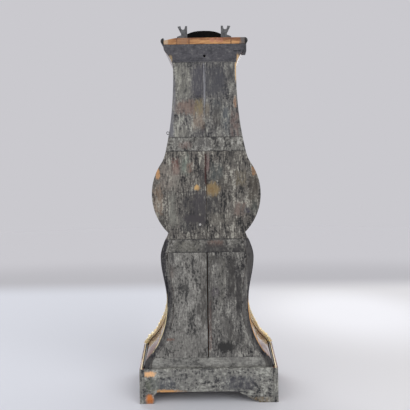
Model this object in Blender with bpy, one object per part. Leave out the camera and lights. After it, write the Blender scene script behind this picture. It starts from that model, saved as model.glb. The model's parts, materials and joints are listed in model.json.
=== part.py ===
"""A violin-shaped floor regulator clock on an arched plinth, with its door, dial and movement.

Metres, +Z up. The dial faces -Y and the painted back faces +Y. The origin is on the floor under
the middle of the plinth. Left and right are those of a person facing the dial, so right is +X.
"""

import math

import bmesh
import bpy
from mathutils import Matrix, Vector

# Fits
GAP = 0.0003  # air between two pieces that touch
RUN = 0.0003  # running clearance round pins and pivots
DOOR_CLEARANCE = 0.0008  # round the door in its doorway
ROW_STEP = 0.010  # longest step between two points of an outline

# Plinth, four boards with an arch cut in each
PLINTH_HEIGHT = 0.145
PLINTH_DEPTH = 0.300
PLINTH_BACK_HALF = 0.2925
PLINTH_FRONT_HALF = 0.319
PLINTH_BOARD = 0.020
ARCH_HEIGHT = 0.048
ARCH_SHOULDER = 0.004
ARCH_RUN = 0.100
FOOT_WIDTH = 0.060
SIDE_FOOT_WIDTH = 0.070
WORN_FOOT_WIDTH = 0.041  # the back right foot has lost its inner edge
WORN_SHOULDER = 0.036
WORN_ARCH_RUN = 0.014
SIDE_ARCH_RUN = 0.045

# Outline of the case at its back, from the plinth up
BASE_HEIGHT = 0.5465
FOOT_BACK_LEDGE = 0.0225  # how far the base stands in from the plinth at its back corners
FOOT_FRONT_LEDGE = 0.024  # the same at its front corners
FOOT_STEP = 0.012  # and behind the plinth's front
FOOT_RISE = 0.026  # the nearly upright foot of the base
FOOT_DRAW = 0.003  # how far it draws in over that height
FOOT_SLOPE = -0.45
HOLLOW_RISE = 0.072  # the hollow flare over the foot
HOLLOW_DRAW = 0.0387
HOLLOW_SLOPE = -0.68
SLIM_DROP = 0.2565
SLIM_HALF = 0.171
EAR_DROP = 0.0765
EAR_HALF = 0.195
PINCH_RISE = 0.0265
PINCH_SLOPE = -0.40
BULGE_RADIUS = 0.231
BULGE_DROP = 0.164
BULGE_RISE = 0.131
SHOULDER_HEIGHT = 0.072
SHOULDER_HALF = 0.1654
SHOULDER_SLOPE = -0.22
NECK_HEIGHT = 0.320
NECK_HALF = 0.1336
FLARE_HEIGHT = 0.1125
FLARE_HALF = 0.172
FILLET_DROP = 0.027  # the upright edge over the hollow flare
FILLET_HALF = 0.1675
FILLET_SLOPE = 1.0
SLIM_SPLAY = 0.010  # how much wider each side of the front is, at the slim part of the base
TRUNK_SPLAY = 0.018  # from the waist to the neck
TOP_SPLAY = -0.024  # and at the top, where the front is narrower

# Boards of the case
TRUNK_SETBACK = 0.048  # trunk front behind the front of the plinth
BACK_INSET = 0.010
FRONT_BOARD = 0.016
BACK_BOARD = 0.012
TRUNK_SIDE = 0.016
BASE_SIDE = 0.028
BOTTOM_RAIL = 0.043
WAIST_RAIL = 0.058
BULGE_BOARD_HEIGHT = 0.3715
MIDDLE_RAIL = 0.0605
HEAD_RAIL = 0.077
BASE_BOARD_PARTING = 0.0045
TRUNK_BOARD_PARTING = 0.001
SCREW_HOLE_RADIUS = 0.0055
SCREW_HOLE_DROP = 0.050
TOP_BOARD = 0.0272
WORN_CORNER_LENGTH = 0.050
WORN_CORNER_DROP = 0.010

# Mouldings and mounts
CREST_RISE = 0.133
CREST_HALF = 0.134
CREST_FULLNESS = 0.77  # 1 for an ellipse, less for a flatter top and fuller shoulders
CREST_STEPS = 24
CORNICE_RADIUS = 0.013
BED_MOULD_HEIGHT = 0.032
BED_MOULD_HALF = 0.1785
BED_MOULD_LENGTH = 0.045
PLINTH_MOULDING_RADIUS = 0.007
MOUNT_TOP = 0.285  # heights of the corner mounts above the plinth
MOUNT_LEAF = 0.195
MOUNT_KNEE = 0.112
MOUNT_WAIST = 0.080
MOUNT_TOE = 0.046
MOUNT_TOE_STEP = 0.008
MOUNT_STRIP = 0.004  # how far they stand out at the front and at their top
MOUNT_BODY = 0.013  # and to the side, at the leaf and the waist
MOUNT_SCROLL = 0.0175
MOUNT_FOOT = 0.0215
MOUNT_SIDE_LAP = 0.022
MOUNT_FRONT_LAP = 0.030

# Fork brackets on the top board
FORK_INNER_X = 0.072
FORK_WIDTH = 0.041
FORK_HEIGHT = 0.055
FORK_PLATE = 0.005
FORK_STEM = 0.026
FORK_TINE = 0.0085
FORK_OUTER_TINE = 0.013
FORK_NOTCH_DEPTH = 0.0155
FORK_FLANGE = 0.044
FORK_FLANGE_HEIGHT = 0.016
FORK_INSET = 0.014

# Ring eye screwed into the right side
RING_RADIUS = 0.0058
RING_WIRE = 0.0014
RING_HEIGHT = 0.456  # above the waist joint
RING_INSET = 0.030
RING_SHANK = 0.010

# Trunk door with its lunette
DOOR_HALF = 0.104
DOOR_BELOW = 0.130
DOOR_ABOVE = 0.400
DOOR_CROWN = 0.026
LUNETTE_RADIUS = 0.070
LUNETTE_RIM = 0.012
RIM_HEIGHT = 0.010
GLASS = 0.002
GLASS_REBATE = 0.0035
HINGE_HEIGHT = 0.050
HINGE_INSET = 0.070
LEAF_WIDTH = 0.018
LEAF = 0.0012
KNUCKLE_RADIUS = 0.0035
PIN_RADIUS = 0.0015
KEY_INSET = 0.016
KEY_RISE = 0.200  # above the middle of the lunette
KEY_RADIUS = 0.0025
KEY_REACH = 0.022
KEY_BOW_RADIUS = 0.011
KEY_BOW_HOLE = 0.0065
KEY_BOW = 0.003
KEY_BIT = 0.026
KEY_BIT_WIDTH = 0.008
KEY_BIT_PLATE = 0.003

# Dial and its glazed bezel
DIAL_DROP = 0.0715
DIAL_OPENING = 0.098
DIAL_LAP = 0.006
DIAL_PLATE = 0.002
DIAL_FOOT_RADIUS = 0.002
DIAL_FOOT_CIRCLE = 0.060
DIAL_BEZEL_INNER = 0.092
DIAL_BEZEL_LAP = 0.010
DIAL_BEZEL_HEIGHT = 0.011
BEZEL_HINGE_STANDOFF = 0.007
BEZEL_KNUCKLE = 0.010

# Plates of the movement
SEAT_BOARD = 0.015
SEAT_FRONT = 0.010
SEAT_DEPTH = 0.082
SEAT_DROP = 0.096
PLATE = 0.003
PLATE_HALF = 0.046
PLATE_RISE = 0.066
PLATE_SPACE = 0.040
PILLAR_RADIUS = 0.003
PILLAR_INSET = 0.006
DIAL_TO_PLATE = 0.022
COCK_LEG = 0.004
COCK_HALF = 0.016
COCK_BAR = 0.010
COCK_REACH = 0.040

# Wheels: teeth, modules and the places of the arbors about the dial's middle
LEAVES = 6
GREAT_TEETH = 72
GREAT_MODULE = 0.0010
CENTRE_TEETH = 60
THIRD_TEETH = 48
TRAIN_MODULE = 0.0008
ESCAPE_TEETH = 29
ESCAPE_RADIUS = 0.018
ESCAPE_RISE = 0.028
PALLET_RISE = 0.026  # pallet arbor above the escape arbor
THIRD_LEAN = 0.754  # angle of the third arbor above the horizontal, in radians
CANNON_TEETH = 12
MINUTE_TEETH = 36
MINUTE_MODULE = 0.0010
MINUTE_LEAVES = 10
HOUR_TEETH = 40
MINUTE_LEAN = 2.618
WHEEL = 0.002
GREAT_WHEEL = 0.003
GREAT_STANDOFF = 0.003  # layers of the train, from the plates
THIRD_STANDOFF = 0.011
ESCAPE_STANDOFF = 0.023
CENTRE_STANDOFF = 0.009
MOTION_STANDOFF = 0.007  # and of the motion work, in two steps
PINION = 0.006
ARBOR_RADIUS = 0.0015
WHEEL_ADDENDUM = 0.60  # shares of the module
WHEEL_DEDENDUM = 1.05
PINION_ADDENDUM = 0.55
PINION_DEDENDUM = 1.00
TOOTH_ROOT = 0.19  # half thicknesses, shares of the tooth pitch
TOOTH_TIP = 0.08
LEAF_ROOT = 0.15
LEAF_TIP = 0.08
DRUM_RADIUS = 0.030
DRUM_DEPTH = 0.022
DRUM_WALL = 0.002
WINDING_RADIUS = 0.004
WINDING_HUB = 0.007
RATCHET_RADIUS = 0.012
RATCHET_TEETH = 18
SPRING_TURNS = 5
SPRING_STRIP = 0.0008
ANCHOR_HALF_SPAN = 0.0145
ANCHOR_PLATE = 0.004
CRUTCH_LENGTH = 0.075
CRUTCH_HALF = 0.002
CRUTCH_PLATE = 0.002
CANNON_PIPE = 0.0025
HOUR_PIPE = 0.0040
HAND_PLATE = 0.0012
HOUR_HAND_STANDOFF = 0.0047  # in front of the dial
HAND_SPACE = 0.005  # from the hour hand to the minute hand
MINUTE_HAND_LENGTH = 0.078
HOUR_HAND_LENGTH = 0.052
HAND_HALF = 0.0032
MINUTE_HAND_AT = math.radians(54)  # clockwise from twelve
HOUR_HAND_AT = math.radians(304.5)

# Pendulum
PENDULUM_BEHIND = 0.034  # its plane behind the back plate
SUSPENSION_LENGTH = 0.020
SUSPENSION_HALF = 0.003
SUSPENSION_STRIP = 0.0008
ROD_HALF = 0.003
ROD_PLATE = 0.003
BOB_RADIUS = 0.060
BOB_HALF = 0.014
BOB_RIM_HALF = 0.003
SCREW_RADIUS = 0.0013
SCREW_LENGTH = 0.026
NUT_RADIUS = 0.009
NUT_HEIGHT = 0.008

# Heights worked out from the sizes above
Z_WAIST = PLINTH_HEIGHT + BASE_HEIGHT
Z_SLIM = Z_WAIST - SLIM_DROP
Z_EAR = Z_WAIST - EAR_DROP
Z_PINCH = Z_WAIST + PINCH_RISE
Z_BULGE = Z_PINCH + BULGE_DROP
Z_SHOULDER = Z_BULGE + BULGE_RISE
Z_NECK_FOOT = Z_SHOULDER + SHOULDER_HEIGHT
Z_NECK_TOP = Z_NECK_FOOT + NECK_HEIGHT
Z_TRUNK_TOP = Z_NECK_TOP + FLARE_HEIGHT
Z_TOP = Z_TRUNK_TOP + GAP + TOP_BOARD
Z_BOTTOM_RAIL_TOP = PLINTH_HEIGHT + BOTTOM_RAIL
Z_WAIST_RAIL = Z_WAIST - WAIST_RAIL
Z_MIDDLE_RAIL = Z_WAIST + BULGE_BOARD_HEIGHT
Z_NECK_BOARDS = Z_MIDDLE_RAIL + MIDDLE_RAIL
Z_HEAD_RAIL = Z_TRUNK_TOP - HEAD_RAIL
Z_DIAL = Z_TRUNK_TOP - DIAL_DROP
Z_DOOR_LOW = Z_BULGE - DOOR_BELOW
Z_DOOR_HIGH = Z_BULGE + DOOR_ABOVE
BASE_FOOT_HALF = PLINTH_BACK_HALF - FOOT_BACK_LEDGE
BASE_SPLAY = PLINTH_FRONT_HALF - FOOT_FRONT_LEDGE - BASE_FOOT_HALF
PINCH_HALF = math.sqrt(BULGE_RADIUS**2 - BULGE_DROP**2)
CHEST_HALF = math.sqrt(BULGE_RADIUS**2 - BULGE_RISE**2)
CHEST_SLOPE = -BULGE_RISE / CHEST_HALF

# Depths worked out from the sizes above
Y_PLINTH_BACK = PLINTH_DEPTH / 2
Y_BACK = Y_PLINTH_BACK - BACK_INSET
Y_BOARD = Y_BACK - BACK_BOARD
Y_FRONT = TRUNK_SETBACK - Y_PLINTH_BACK
BASE_SWELL = TRUNK_SETBACK - FOOT_STEP
Y_FRONT_IN = Y_FRONT + FRONT_BOARD
Y_SIDE_FRONT = Y_FRONT_IN + GAP
Y_SIDE_BACK = Y_BOARD - GAP
Y_DIAL = Y_FRONT_IN + GAP  # face of the dial, behind the front board
Y_DIAL_BACK = Y_DIAL + DIAL_PLATE
Y_PLATE = Y_DIAL_BACK + DIAL_TO_PLATE  # face of the front plate
Y_PLATE_IN = Y_PLATE + PLATE
Y_BACK_PLATE = Y_PLATE_IN + PLATE_SPACE
Y_PLATES_END = Y_BACK_PLATE + PLATE
Y_PENDULUM = Y_PLATES_END + PENDULUM_BEHIND

# Places of the arbors, across and up from the dial's middle
GREAT_DISTANCE = GREAT_MODULE * (GREAT_TEETH + LEAVES) / 2
THIRD_DISTANCE = TRAIN_MODULE * (CENTRE_TEETH + LEAVES) / 2
ESCAPE_DISTANCE = TRAIN_MODULE * (THIRD_TEETH + LEAVES) / 2
MINUTE_DISTANCE = MINUTE_MODULE * (CANNON_TEETH + MINUTE_TEETH) / 2
HOUR_MODULE = 2 * MINUTE_DISTANCE / (MINUTE_LEAVES + HOUR_TEETH)


def across(angle, distance, start=(0.0, Z_DIAL)):
    """The point at a distance and an angle from a start, as (x, z)."""
    return start[0] + distance * math.cos(angle), start[1] + distance * math.sin(angle)


def crossing(first, first_distance, second, second_distance):
    """The upper left crossing of two circles, each given by its middle and radius."""
    dx, dz = second[0] - first[0], second[1] - first[1]
    apart = math.hypot(dx, dz)
    along = (apart**2 + first_distance**2 - second_distance**2) / (2 * apart)
    aside = math.sqrt(first_distance**2 - along**2)
    return (
        first[0] + (along * dx - aside * dz) / apart,
        first[1] + (along * dz + aside * dx) / apart,
    )


CENTRE_AT = (0.0, Z_DIAL)
BARREL_AT = across(-math.pi / 2, GREAT_DISTANCE)
THIRD_AT = across(THIRD_LEAN, THIRD_DISTANCE)
ESCAPE_AT = crossing(CENTRE_AT, ESCAPE_RISE, THIRD_AT, ESCAPE_DISTANCE)
PALLET_AT = (ESCAPE_AT[0], ESCAPE_AT[1] + PALLET_RISE)
MINUTE_AT = across(MINUTE_LEAN, MINUTE_DISTANCE)
Z_SEAT = Z_DIAL - SEAT_DROP

# Layers of the train along the depth
Y_GREAT = Y_PLATE_IN + GREAT_STANDOFF
Y_DRUM = Y_GREAT + GREAT_WHEEL
Y_CENTRE_WHEEL = Y_BACK_PLATE - CENTRE_STANDOFF
Y_THIRD_WHEEL = Y_PLATE_IN + THIRD_STANDOFF
Y_ESCAPE = Y_PLATE_IN + ESCAPE_STANDOFF
Y_MOTION = Y_PLATE - MOTION_STANDOFF
Y_HOUR = Y_MOTION - MOTION_STANDOFF
Y_HOUR_HAND = Y_DIAL - HOUR_HAND_STANDOFF
Y_MINUTE_HAND = Y_HOUR_HAND - HAND_SPACE

# Finishes: colour, roughness, metallic
FINISHES = {
    "slate_paint": ((0.16, 0.16, 0.155, 1.0), 0.75, 0.0),
    "bare_oak": ((0.60, 0.33, 0.14, 1.0), 0.70, 0.0),
    "veneer": ((0.075, 0.030, 0.018, 1.0), 0.22, 0.0),
    "ebonised": ((0.012, 0.011, 0.010, 1.0), 0.28, 0.0),
    "gilt_bronze": ((0.78, 0.55, 0.22, 1.0), 0.32, 1.0),
    "brass": ((0.72, 0.54, 0.25, 1.0), 0.30, 1.0),
    "steel": ((0.32, 0.33, 0.35, 1.0), 0.32, 1.0),
    "iron": ((0.12, 0.12, 0.125, 1.0), 0.62, 0.8),
    "enamel": ((0.86, 0.84, 0.78, 1.0), 0.18, 0.0),
    "glass": ((0.90, 0.94, 0.95, 1.0), 0.04, 0.0),
}


def clear_scene():
    for old in list(bpy.data.objects):
        bpy.data.objects.remove(old, do_unlink=True)


def finish_material(finish):
    """The Principled material of one finish, made once."""
    found = bpy.data.materials.get(finish)
    if found:
        return found
    colour, roughness, metallic = FINISHES[finish]
    material = bpy.data.materials.new(finish)
    material.use_nodes = True
    shader = material.node_tree.nodes["Principled BSDF"]
    shader.inputs["Base Color"].default_value = colour
    shader.inputs["Roughness"].default_value = roughness
    shader.inputs["Metallic"].default_value = metallic
    if finish == "glass":
        shader.inputs["Transmission Weight"].default_value = 1.0
    material.diffuse_color = colour
    return material


def finish_mesh(name, shape, finish):
    """A new object from a closed bmesh, its faces turned outwards and its round faces smooth."""
    bmesh.ops.recalc_face_normals(shape, faces=shape.faces)
    mesh = bpy.data.meshes.new(name)
    shape.to_mesh(mesh)
    shape.free()
    mesh.shade_smooth()
    mesh.set_sharp_from_angle(angle=math.radians(35))
    piece = bpy.data.objects.new(name, mesh)
    bpy.context.scene.collection.objects.link(piece)
    if finish:
        mesh.materials.append(finish_material(finish))
    return piece


def loft(name, rings, finish=None):
    """A closed solid through a row of rings with equal counts of points."""
    shape = bmesh.new()
    rows = [[shape.verts.new(point) for point in ring] for ring in rings]
    count = len(rings[0])
    for low, high in zip(rows, rows[1:]):
        for i in range(count):
            j = (i + 1) % count
            shape.faces.new((low[i], low[j], high[j], high[i]))
    shape.faces.new(rows[0])
    shape.faces.new(rows[-1])
    return finish_mesh(name, shape, finish)


def prism(name, outline, y_front, y_back, finish=None):
    """An upright plate: an outline of (x, z) points between two depths."""
    return loft(name, [[(x, y, z) for x, z in outline] for y in (y_front, y_back)], finish)


def block(name, low, high, finish=None):
    """A rectangular block between two corners."""
    outline = [(low[0], low[2]), (high[0], low[2]), (high[0], high[2]), (low[0], high[2])]
    return prism(name, outline, low[1], high[1], finish)


def turned(name, profile, middle, axis, finish=None, steps=32):
    """A turned solid: a closed profile of (radius, along) points spun about Y or Z at a middle."""
    shape = bmesh.new()
    rings = []
    for radius, along in profile:
        count = steps if radius > 0 else 1
        ring = []
        for i in range(count):
            angle = math.tau * (i + 0.5) / steps
            side, up = radius * math.cos(angle), radius * math.sin(angle)
            offset = (side, along, up) if axis == "Y" else (side, up, along)
            ring.append(shape.verts.new(Vector(middle) + Vector(offset)))
        rings.append(ring)
    for low, high in zip(rings, rings[1:] + rings[:1]):
        for i in range(steps):
            j = (i + 1) % steps
            corners = [low[i % len(low)], low[j % len(low)], high[j % len(high)], high[i % len(high)]]
            corners = list(dict.fromkeys(corners))
            if len(corners) > 2:
                shape.faces.new(corners)
    return finish_mesh(name, shape, finish)


def rod(name, middle, radius, low, high, axis, finish=None, steps=16):
    """A plain round bar between two places along Y or Z."""
    profile = [(0, low), (radius, low), (radius, high), (0, high)]
    return turned(name, profile, middle, axis, finish, steps)


def tube(name, middle, inner, outer, low, high, axis, finish=None, steps=16):
    """A round bar with a bore."""
    profile = [(inner, low), (outer, low), (outer, high), (inner, high)]
    return turned(name, profile, middle, axis, finish, steps)


def combine(piece, tool, operation):
    """Joins a helper to a piece, or cuts it away, and hides the helper."""
    change = piece.modifiers.new(tool.name, "BOOLEAN")
    change.operation = operation
    change.solver = "EXACT"
    change.object = tool
    tool.hide_render = True
    tool.display_type = "WIRE"


def join(piece, *tools):
    for tool in tools:
        combine(piece, tool, "UNION")


def cut(piece, *tools):
    for tool in tools:
        combine(piece, tool, "DIFFERENCE")


def bore(piece, at, radius, low, high, axis="Y", steps=16):
    """Drills a round hole through a piece at (x, z), or at (x, y) for a hole along Z."""
    middle = (at[0], 0, at[1]) if axis == "Y" else (at[0], at[1], 0)
    cut(piece, rod(piece.name + "_bore", middle, radius, low, high, axis, steps=steps))


def hang(pivot_name, pivot, pieces, parent=None):
    """Puts moving pieces under an empty that sits on their joint's axis."""
    hook = bpy.data.objects.new(pivot_name, None)
    bpy.context.scene.collection.objects.link(hook)
    base = Vector(parent["at"]) if parent else Vector()
    hook["at"] = pivot
    hook.parent = parent
    hook.location = Vector(pivot) - base
    for piece in pieces:
        piece.data.transform(Matrix.Translation(-Vector(pivot)))
        piece.parent = hook
    return hook


def between(z, low, high):
    """Half-width at z on the smooth curve between two (height, half-width, slope) knots."""
    span = high[0] - low[0]
    t = (z - low[0]) / span
    start = (1 + 2 * t) * (1 - t) ** 2 * low[1] + t * (1 - t) ** 2 * span * low[2]
    return start + t * t * (3 - 2 * t) * high[1] + t * t * (t - 1) * span * high[2]


BASE_KNOTS = (
    (PLINTH_HEIGHT, BASE_FOOT_HALF, 0.0),
    (PLINTH_HEIGHT + FOOT_RISE, BASE_FOOT_HALF - FOOT_DRAW, FOOT_SLOPE),
    (PLINTH_HEIGHT + HOLLOW_RISE, BASE_FOOT_HALF - HOLLOW_DRAW, HOLLOW_SLOPE),
    (Z_SLIM, SLIM_HALF, 0.0),
    (Z_EAR, EAR_HALF, 0.0),
    (Z_PINCH, PINCH_HALF, PINCH_SLOPE),
)
NECK_KNOTS = (
    (Z_SHOULDER, CHEST_HALF, CHEST_SLOPE),
    (Z_NECK_FOOT, SHOULDER_HALF, SHOULDER_SLOPE),
    (Z_NECK_TOP, NECK_HALF, 0.0),
    (Z_TRUNK_TOP - FILLET_DROP, FILLET_HALF, FILLET_SLOPE),
    (Z_TRUNK_TOP, FLARE_HALF, 0.0),
)
SPLAY_KNOTS = (
    (Z_SLIM, SLIM_SPLAY, 0.0),
    (Z_WAIST, TRUNK_SPLAY, 0.0),
    (Z_NECK_TOP, TRUNK_SPLAY, 0.0),
    (Z_TRUNK_TOP, TOP_SPLAY, 0.0),
)


def back_half(z):
    """Half-width of the case at its back."""
    if Z_PINCH <= z <= Z_SHOULDER:
        return math.sqrt(BULGE_RADIUS**2 - (z - Z_BULGE) ** 2)
    knots = BASE_KNOTS if z < Z_PINCH else NECK_KNOTS
    for low, high in zip(knots, knots[1:]):
        if z <= high[0]:
            break
    return between(z, low, high)


def splay(z):
    """How much wider each side of the front is; it spreads quickly towards the foot."""
    if z < Z_SLIM:
        depth = (Z_SLIM - z) / (Z_SLIM - PLINTH_HEIGHT)
        return SLIM_SPLAY + (BASE_SPLAY - SLIM_SPLAY) * depth**4
    for low, high in zip(SPLAY_KNOTS, SPLAY_KNOTS[1:]):
        if z <= high[0]:
            break
    return between(min(z, Z_TRUNK_TOP), low, high)


def front_half(z):
    return back_half(z) + splay(z)


def rows(low, high):
    """Heights from low to high: the outline's own knots with even steps between them."""
    knots = [k[0] for k in BASE_KNOTS + NECK_KNOTS] + [Z_BOTTOM_RAIL_TOP, Z_BULGE, Z_WAIST]
    stops = sorted({low, high} | {k for k in knots if low < k < high})
    heights = []
    for start, end in zip(stops, stops[1:]):
        count = max(1, math.ceil((end - start) / ROW_STEP))
        heights += [start + (end - start) * i / count for i in range(count)]
    return heights + [high]


def base_front(z):
    """Depth of the base's front face, which swells forward towards the plinth."""
    depth = max(0.0, (Z_WAIST - z) / BASE_HEIGHT)
    return Y_FRONT - BASE_SWELL * depth**2


def side_half(z, y):
    """Half-width of the trunk's outer face at a height and a depth."""
    share = (Y_SIDE_BACK - y) / (Y_SIDE_BACK - Y_SIDE_FRONT)
    return back_half(z) + splay(z) * min(1.0, max(0.0, share))


def plinth_half(y):
    share = (Y_PLINTH_BACK - y) / PLINTH_DEPTH
    return PLINTH_BACK_HALF + (PLINTH_FRONT_HALF - PLINTH_BACK_HALF) * share


def haunch(x_foot, run, shoulder, count=6):
    """The sloping end of an arch, eased a little at a foot's shoulder and at the flat."""
    points = []
    for i in range(count + 1):
        share = i / count
        eased = (share + share**2 * (3 - 2 * share)) / 2
        points.append((x_foot + run * share, shoulder + (ARCH_HEIGHT - shoulder) * eased))
    return points


FRONT_FOOT = (FOOT_WIDTH, ARCH_RUN, ARCH_SHOULDER)
WORN_FOOT = (WORN_FOOT_WIDTH, WORN_ARCH_RUN, WORN_SHOULDER)
SIDE_FOOT = (SIDE_FOOT_WIDTH, SIDE_ARCH_RUN, ARCH_SHOULDER)


def arched(low, high, low_foot, high_foot):
    """Outline of a plinth board from low to high along its length, with its feet and its arch."""
    width, run, shoulder = low_foot
    outline = [(low, 0.0), (low + width, 0.0)] + haunch(low + width, run, shoulder)
    width, run, shoulder = high_foot
    outline += haunch(high - width, -run, shoulder)[::-1] + [(high - width, 0.0), (high, 0.0)]
    return outline + [(high, PLINTH_HEIGHT), (low, PLINTH_HEIGHT)]


def plinth():
    """The front board laps the ends of the side boards, which lap the ends of the back board."""
    front_in = -Y_PLINTH_BACK + PLINTH_BOARD
    back_in = Y_PLINTH_BACK - PLINTH_BOARD
    feet = {
        "plinth_front": (-Y_PLINTH_BACK, front_in, 0.0, FRONT_FOOT),
        "plinth_back": (back_in, Y_PLINTH_BACK, PLINTH_BOARD + GAP, WORN_FOOT),
    }
    for name, (y_front, y_back, inset, right_foot) in feet.items():
        rings = []
        for y in (y_front, y_back):
            half = plinth_half(y) - inset
            outline = arched(-half, half, FRONT_FOOT, right_foot)
            rings.append([(x, y, z) for x, z in outline])
        loft(name, rings, "slate_paint" if name == "plinth_back" else "veneer")
    low, high = front_in + GAP, Y_PLINTH_BACK
    outline = arched(low, high, SIDE_FOOT, SIDE_FOOT)
    for name, side in (("plinth_side_left", -1), ("plinth_side_right", 1)):
        rings = []
        for inset in (0.0, PLINTH_BOARD):
            rings.append([(side * (plinth_half(y) - inset), y, z) for y, z in outline])
        loft(name, rings, "veneer")


def base():
    """Thick sides whose back edges show, a swelling front, and boards let in between them."""
    heights = rows(PLINTH_HEIGHT + GAP, Z_WAIST)
    for name, side in (("base_side_left", -1), ("base_side_right", 1)):
        rings = []
        for z in heights:
            y_front = base_front(z) + FRONT_BOARD + GAP
            back, front = back_half(z), front_half(z)
            corners = [(back, Y_BACK), (front, y_front)]
            corners += [(front - BASE_SIDE, y_front), (back - BASE_SIDE, Y_BACK)]
            rings.append([(side * x, y, z) for x, y in corners])
        loft(name, rings, "veneer")
    rings = []
    for z in heights:
        y, half = base_front(z), front_half(z)
        corners = [(-half, y), (half, y), (half, y + FRONT_BOARD), (-half, y + FRONT_BOARD)]
        rings.append([(x, y, z) for x, y in corners])
    loft("base_front", rings, "veneer")

    def inner(z):
        return back_half(z) - BASE_SIDE - GAP

    rail("base_bottom_rail", PLINTH_HEIGHT + GAP, Z_BOTTOM_RAIL_TOP, inner)
    rail("waist_rail", Z_WAIST_RAIL, Z_WAIST, inner)
    low, high = Z_BOTTOM_RAIL_TOP + GAP, Z_WAIST_RAIL - GAP
    boards("base_board", low, high, BASE_BOARD_PARTING, inner)


def rail(name, low, high, half):
    """A cross rail of the back, as wide as the outline at each height."""
    heights = rows(low, high)
    outline = [(half(z), z) for z in heights] + [(-half(z), z) for z in heights[::-1]]
    return prism(name, outline, Y_BOARD, Y_BACK, "slate_paint")


def boards(name, low, high, parting, half):
    """The two upright boards between rails, with their parting down the middle."""
    heights = rows(low, high)
    for label, side in (("_left", -1), ("_right", 1)):
        edge = side * parting / 2
        outline = [(side * half(z), z) for z in heights] + [(edge, high), (edge, low)]
        prism(name + label, outline, Y_BOARD, Y_BACK, "slate_paint")


def trunk():
    """Bent sides, overlaid at the back by boards and rails that run out to the edge."""
    heights = rows(Z_WAIST + GAP, Z_TRUNK_TOP)
    sides = {}
    for name, side in (("trunk_side_left", -1), ("trunk_side_right", 1)):
        rings = []
        for z in heights:
            back, front = back_half(z), front_half(z)
            corners = [(back, Y_SIDE_BACK), (front, Y_SIDE_FRONT)]
            corners += [(front - TRUNK_SIDE, Y_SIDE_FRONT), (back - TRUNK_SIDE, Y_SIDE_BACK)]
            rings.append([(side * x, y, z) for x, y in corners])
        sides[name] = loft(name, rings, "veneer")
    boards("bulge_board", Z_WAIST + GAP, Z_MIDDLE_RAIL - GAP, TRUNK_BOARD_PARTING, back_half)
    rail("middle_rail", Z_MIDDLE_RAIL, Z_NECK_BOARDS, back_half)
    boards("neck_board", Z_NECK_BOARDS + GAP, Z_HEAD_RAIL - GAP, TRUNK_BOARD_PARTING, back_half)
    head_rail = rail("head_rail", Z_HEAD_RAIL, Z_TRUNK_TOP, back_half)
    hole = (0.0, Z_TRUNK_TOP - SCREW_HOLE_DROP)
    bore(head_rail, hole, SCREW_HOLE_RADIUS, Y_BOARD - BACK_BOARD, Y_BACK + BACK_BOARD)
    ring_eye(sides["trunk_side_right"])


def ring_eye(side):
    """A wire ring with a screw shank that goes into the right side near its back edge."""
    z, y = Z_WAIST + RING_HEIGHT, Y_BACK - RING_INSET
    face = side_half(z, y)
    middle = (face + RING_RADIUS + RING_WIRE, y, z)
    count = 6
    turn = [math.tau * (i + 0.5) / count for i in range(count)]
    profile = [(RING_RADIUS + RING_WIRE * math.cos(a), RING_WIRE * math.sin(a)) for a in turn]
    ring = turned("ring_eye", profile, middle, "Y", "iron", 16)

    def shank(name, radius, start, end):
        bar = rod(name, (0, 0, 0), radius, start, end, "Z", steps=10)
        bar.data.transform(Matrix.Translation((0, y, z)) @ Matrix.Rotation(math.pi / 2, 4, "Y"))
        return bar

    join(ring, shank("ring_shank", RING_WIRE, face - RING_SHANK, face + 2 * RING_WIRE))
    cut(side, shank("ring_socket", RING_WIRE + GAP, face - RING_SHANK - GAP, face + RING_SHANK))


def top_half(y):
    """Half-width of the top board, which narrows towards the front."""
    share = (Y_BACK - y) / (Y_BACK - Y_SIDE_FRONT)
    return FLARE_HALF + TOP_SPLAY * min(1.0, share)


def crest_point(angle, inset):
    """A point of the full-arched crest, or of its line a little inside, as (x, z)."""
    share = abs(math.cos(angle)) ** CREST_FULLNESS
    x = math.copysign((CREST_HALF - inset) * share, math.cos(angle))
    return x, Z_TOP + (CREST_RISE - inset) * math.sin(angle) ** CREST_FULLNESS


def crest_normal(angle):
    """The direction that points straight out of the crest's edge."""
    power = 2 - CREST_FULLNESS
    x = math.copysign(CREST_RISE * abs(math.cos(angle)) ** power, math.cos(angle))
    z = CREST_HALF * math.sin(angle) ** power
    length = math.hypot(x, z)
    return x / length, 0, z / length


def top():
    """Top board with a worn back right corner, and the half-round cornice round three sides."""
    rings = []
    for y, drop in ((Y_DIAL_BACK + GAP, 0.0), (Y_BACK, WORN_CORNER_DROP)):
        half = top_half(y)
        low = Z_TRUNK_TOP + GAP
        outline = [(-half, low), (half, low), (half, Z_TOP - drop)]
        outline += [(half - WORN_CORNER_LENGTH, Z_TOP), (-half, Z_TOP)]
        rings.append([(x, y, z) for x, z in outline])
    loft("top_board", rings, "bare_oak")
    moulding("cornice", cornice_path(), CORNICE_RADIUS, "ebonised")
    bed_mould()


def mirrored(path):
    """A moulding's stations on the other side, in the order that goes on from the first side."""
    other = []
    for (x, y, z), (out_x, out_y, out_z), (up_x, up_y, up_z) in path[::-1]:
        other.append(((-x, y, z), (-out_x, out_y, out_z), (-up_x, up_y, up_z)))
    return other


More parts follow.
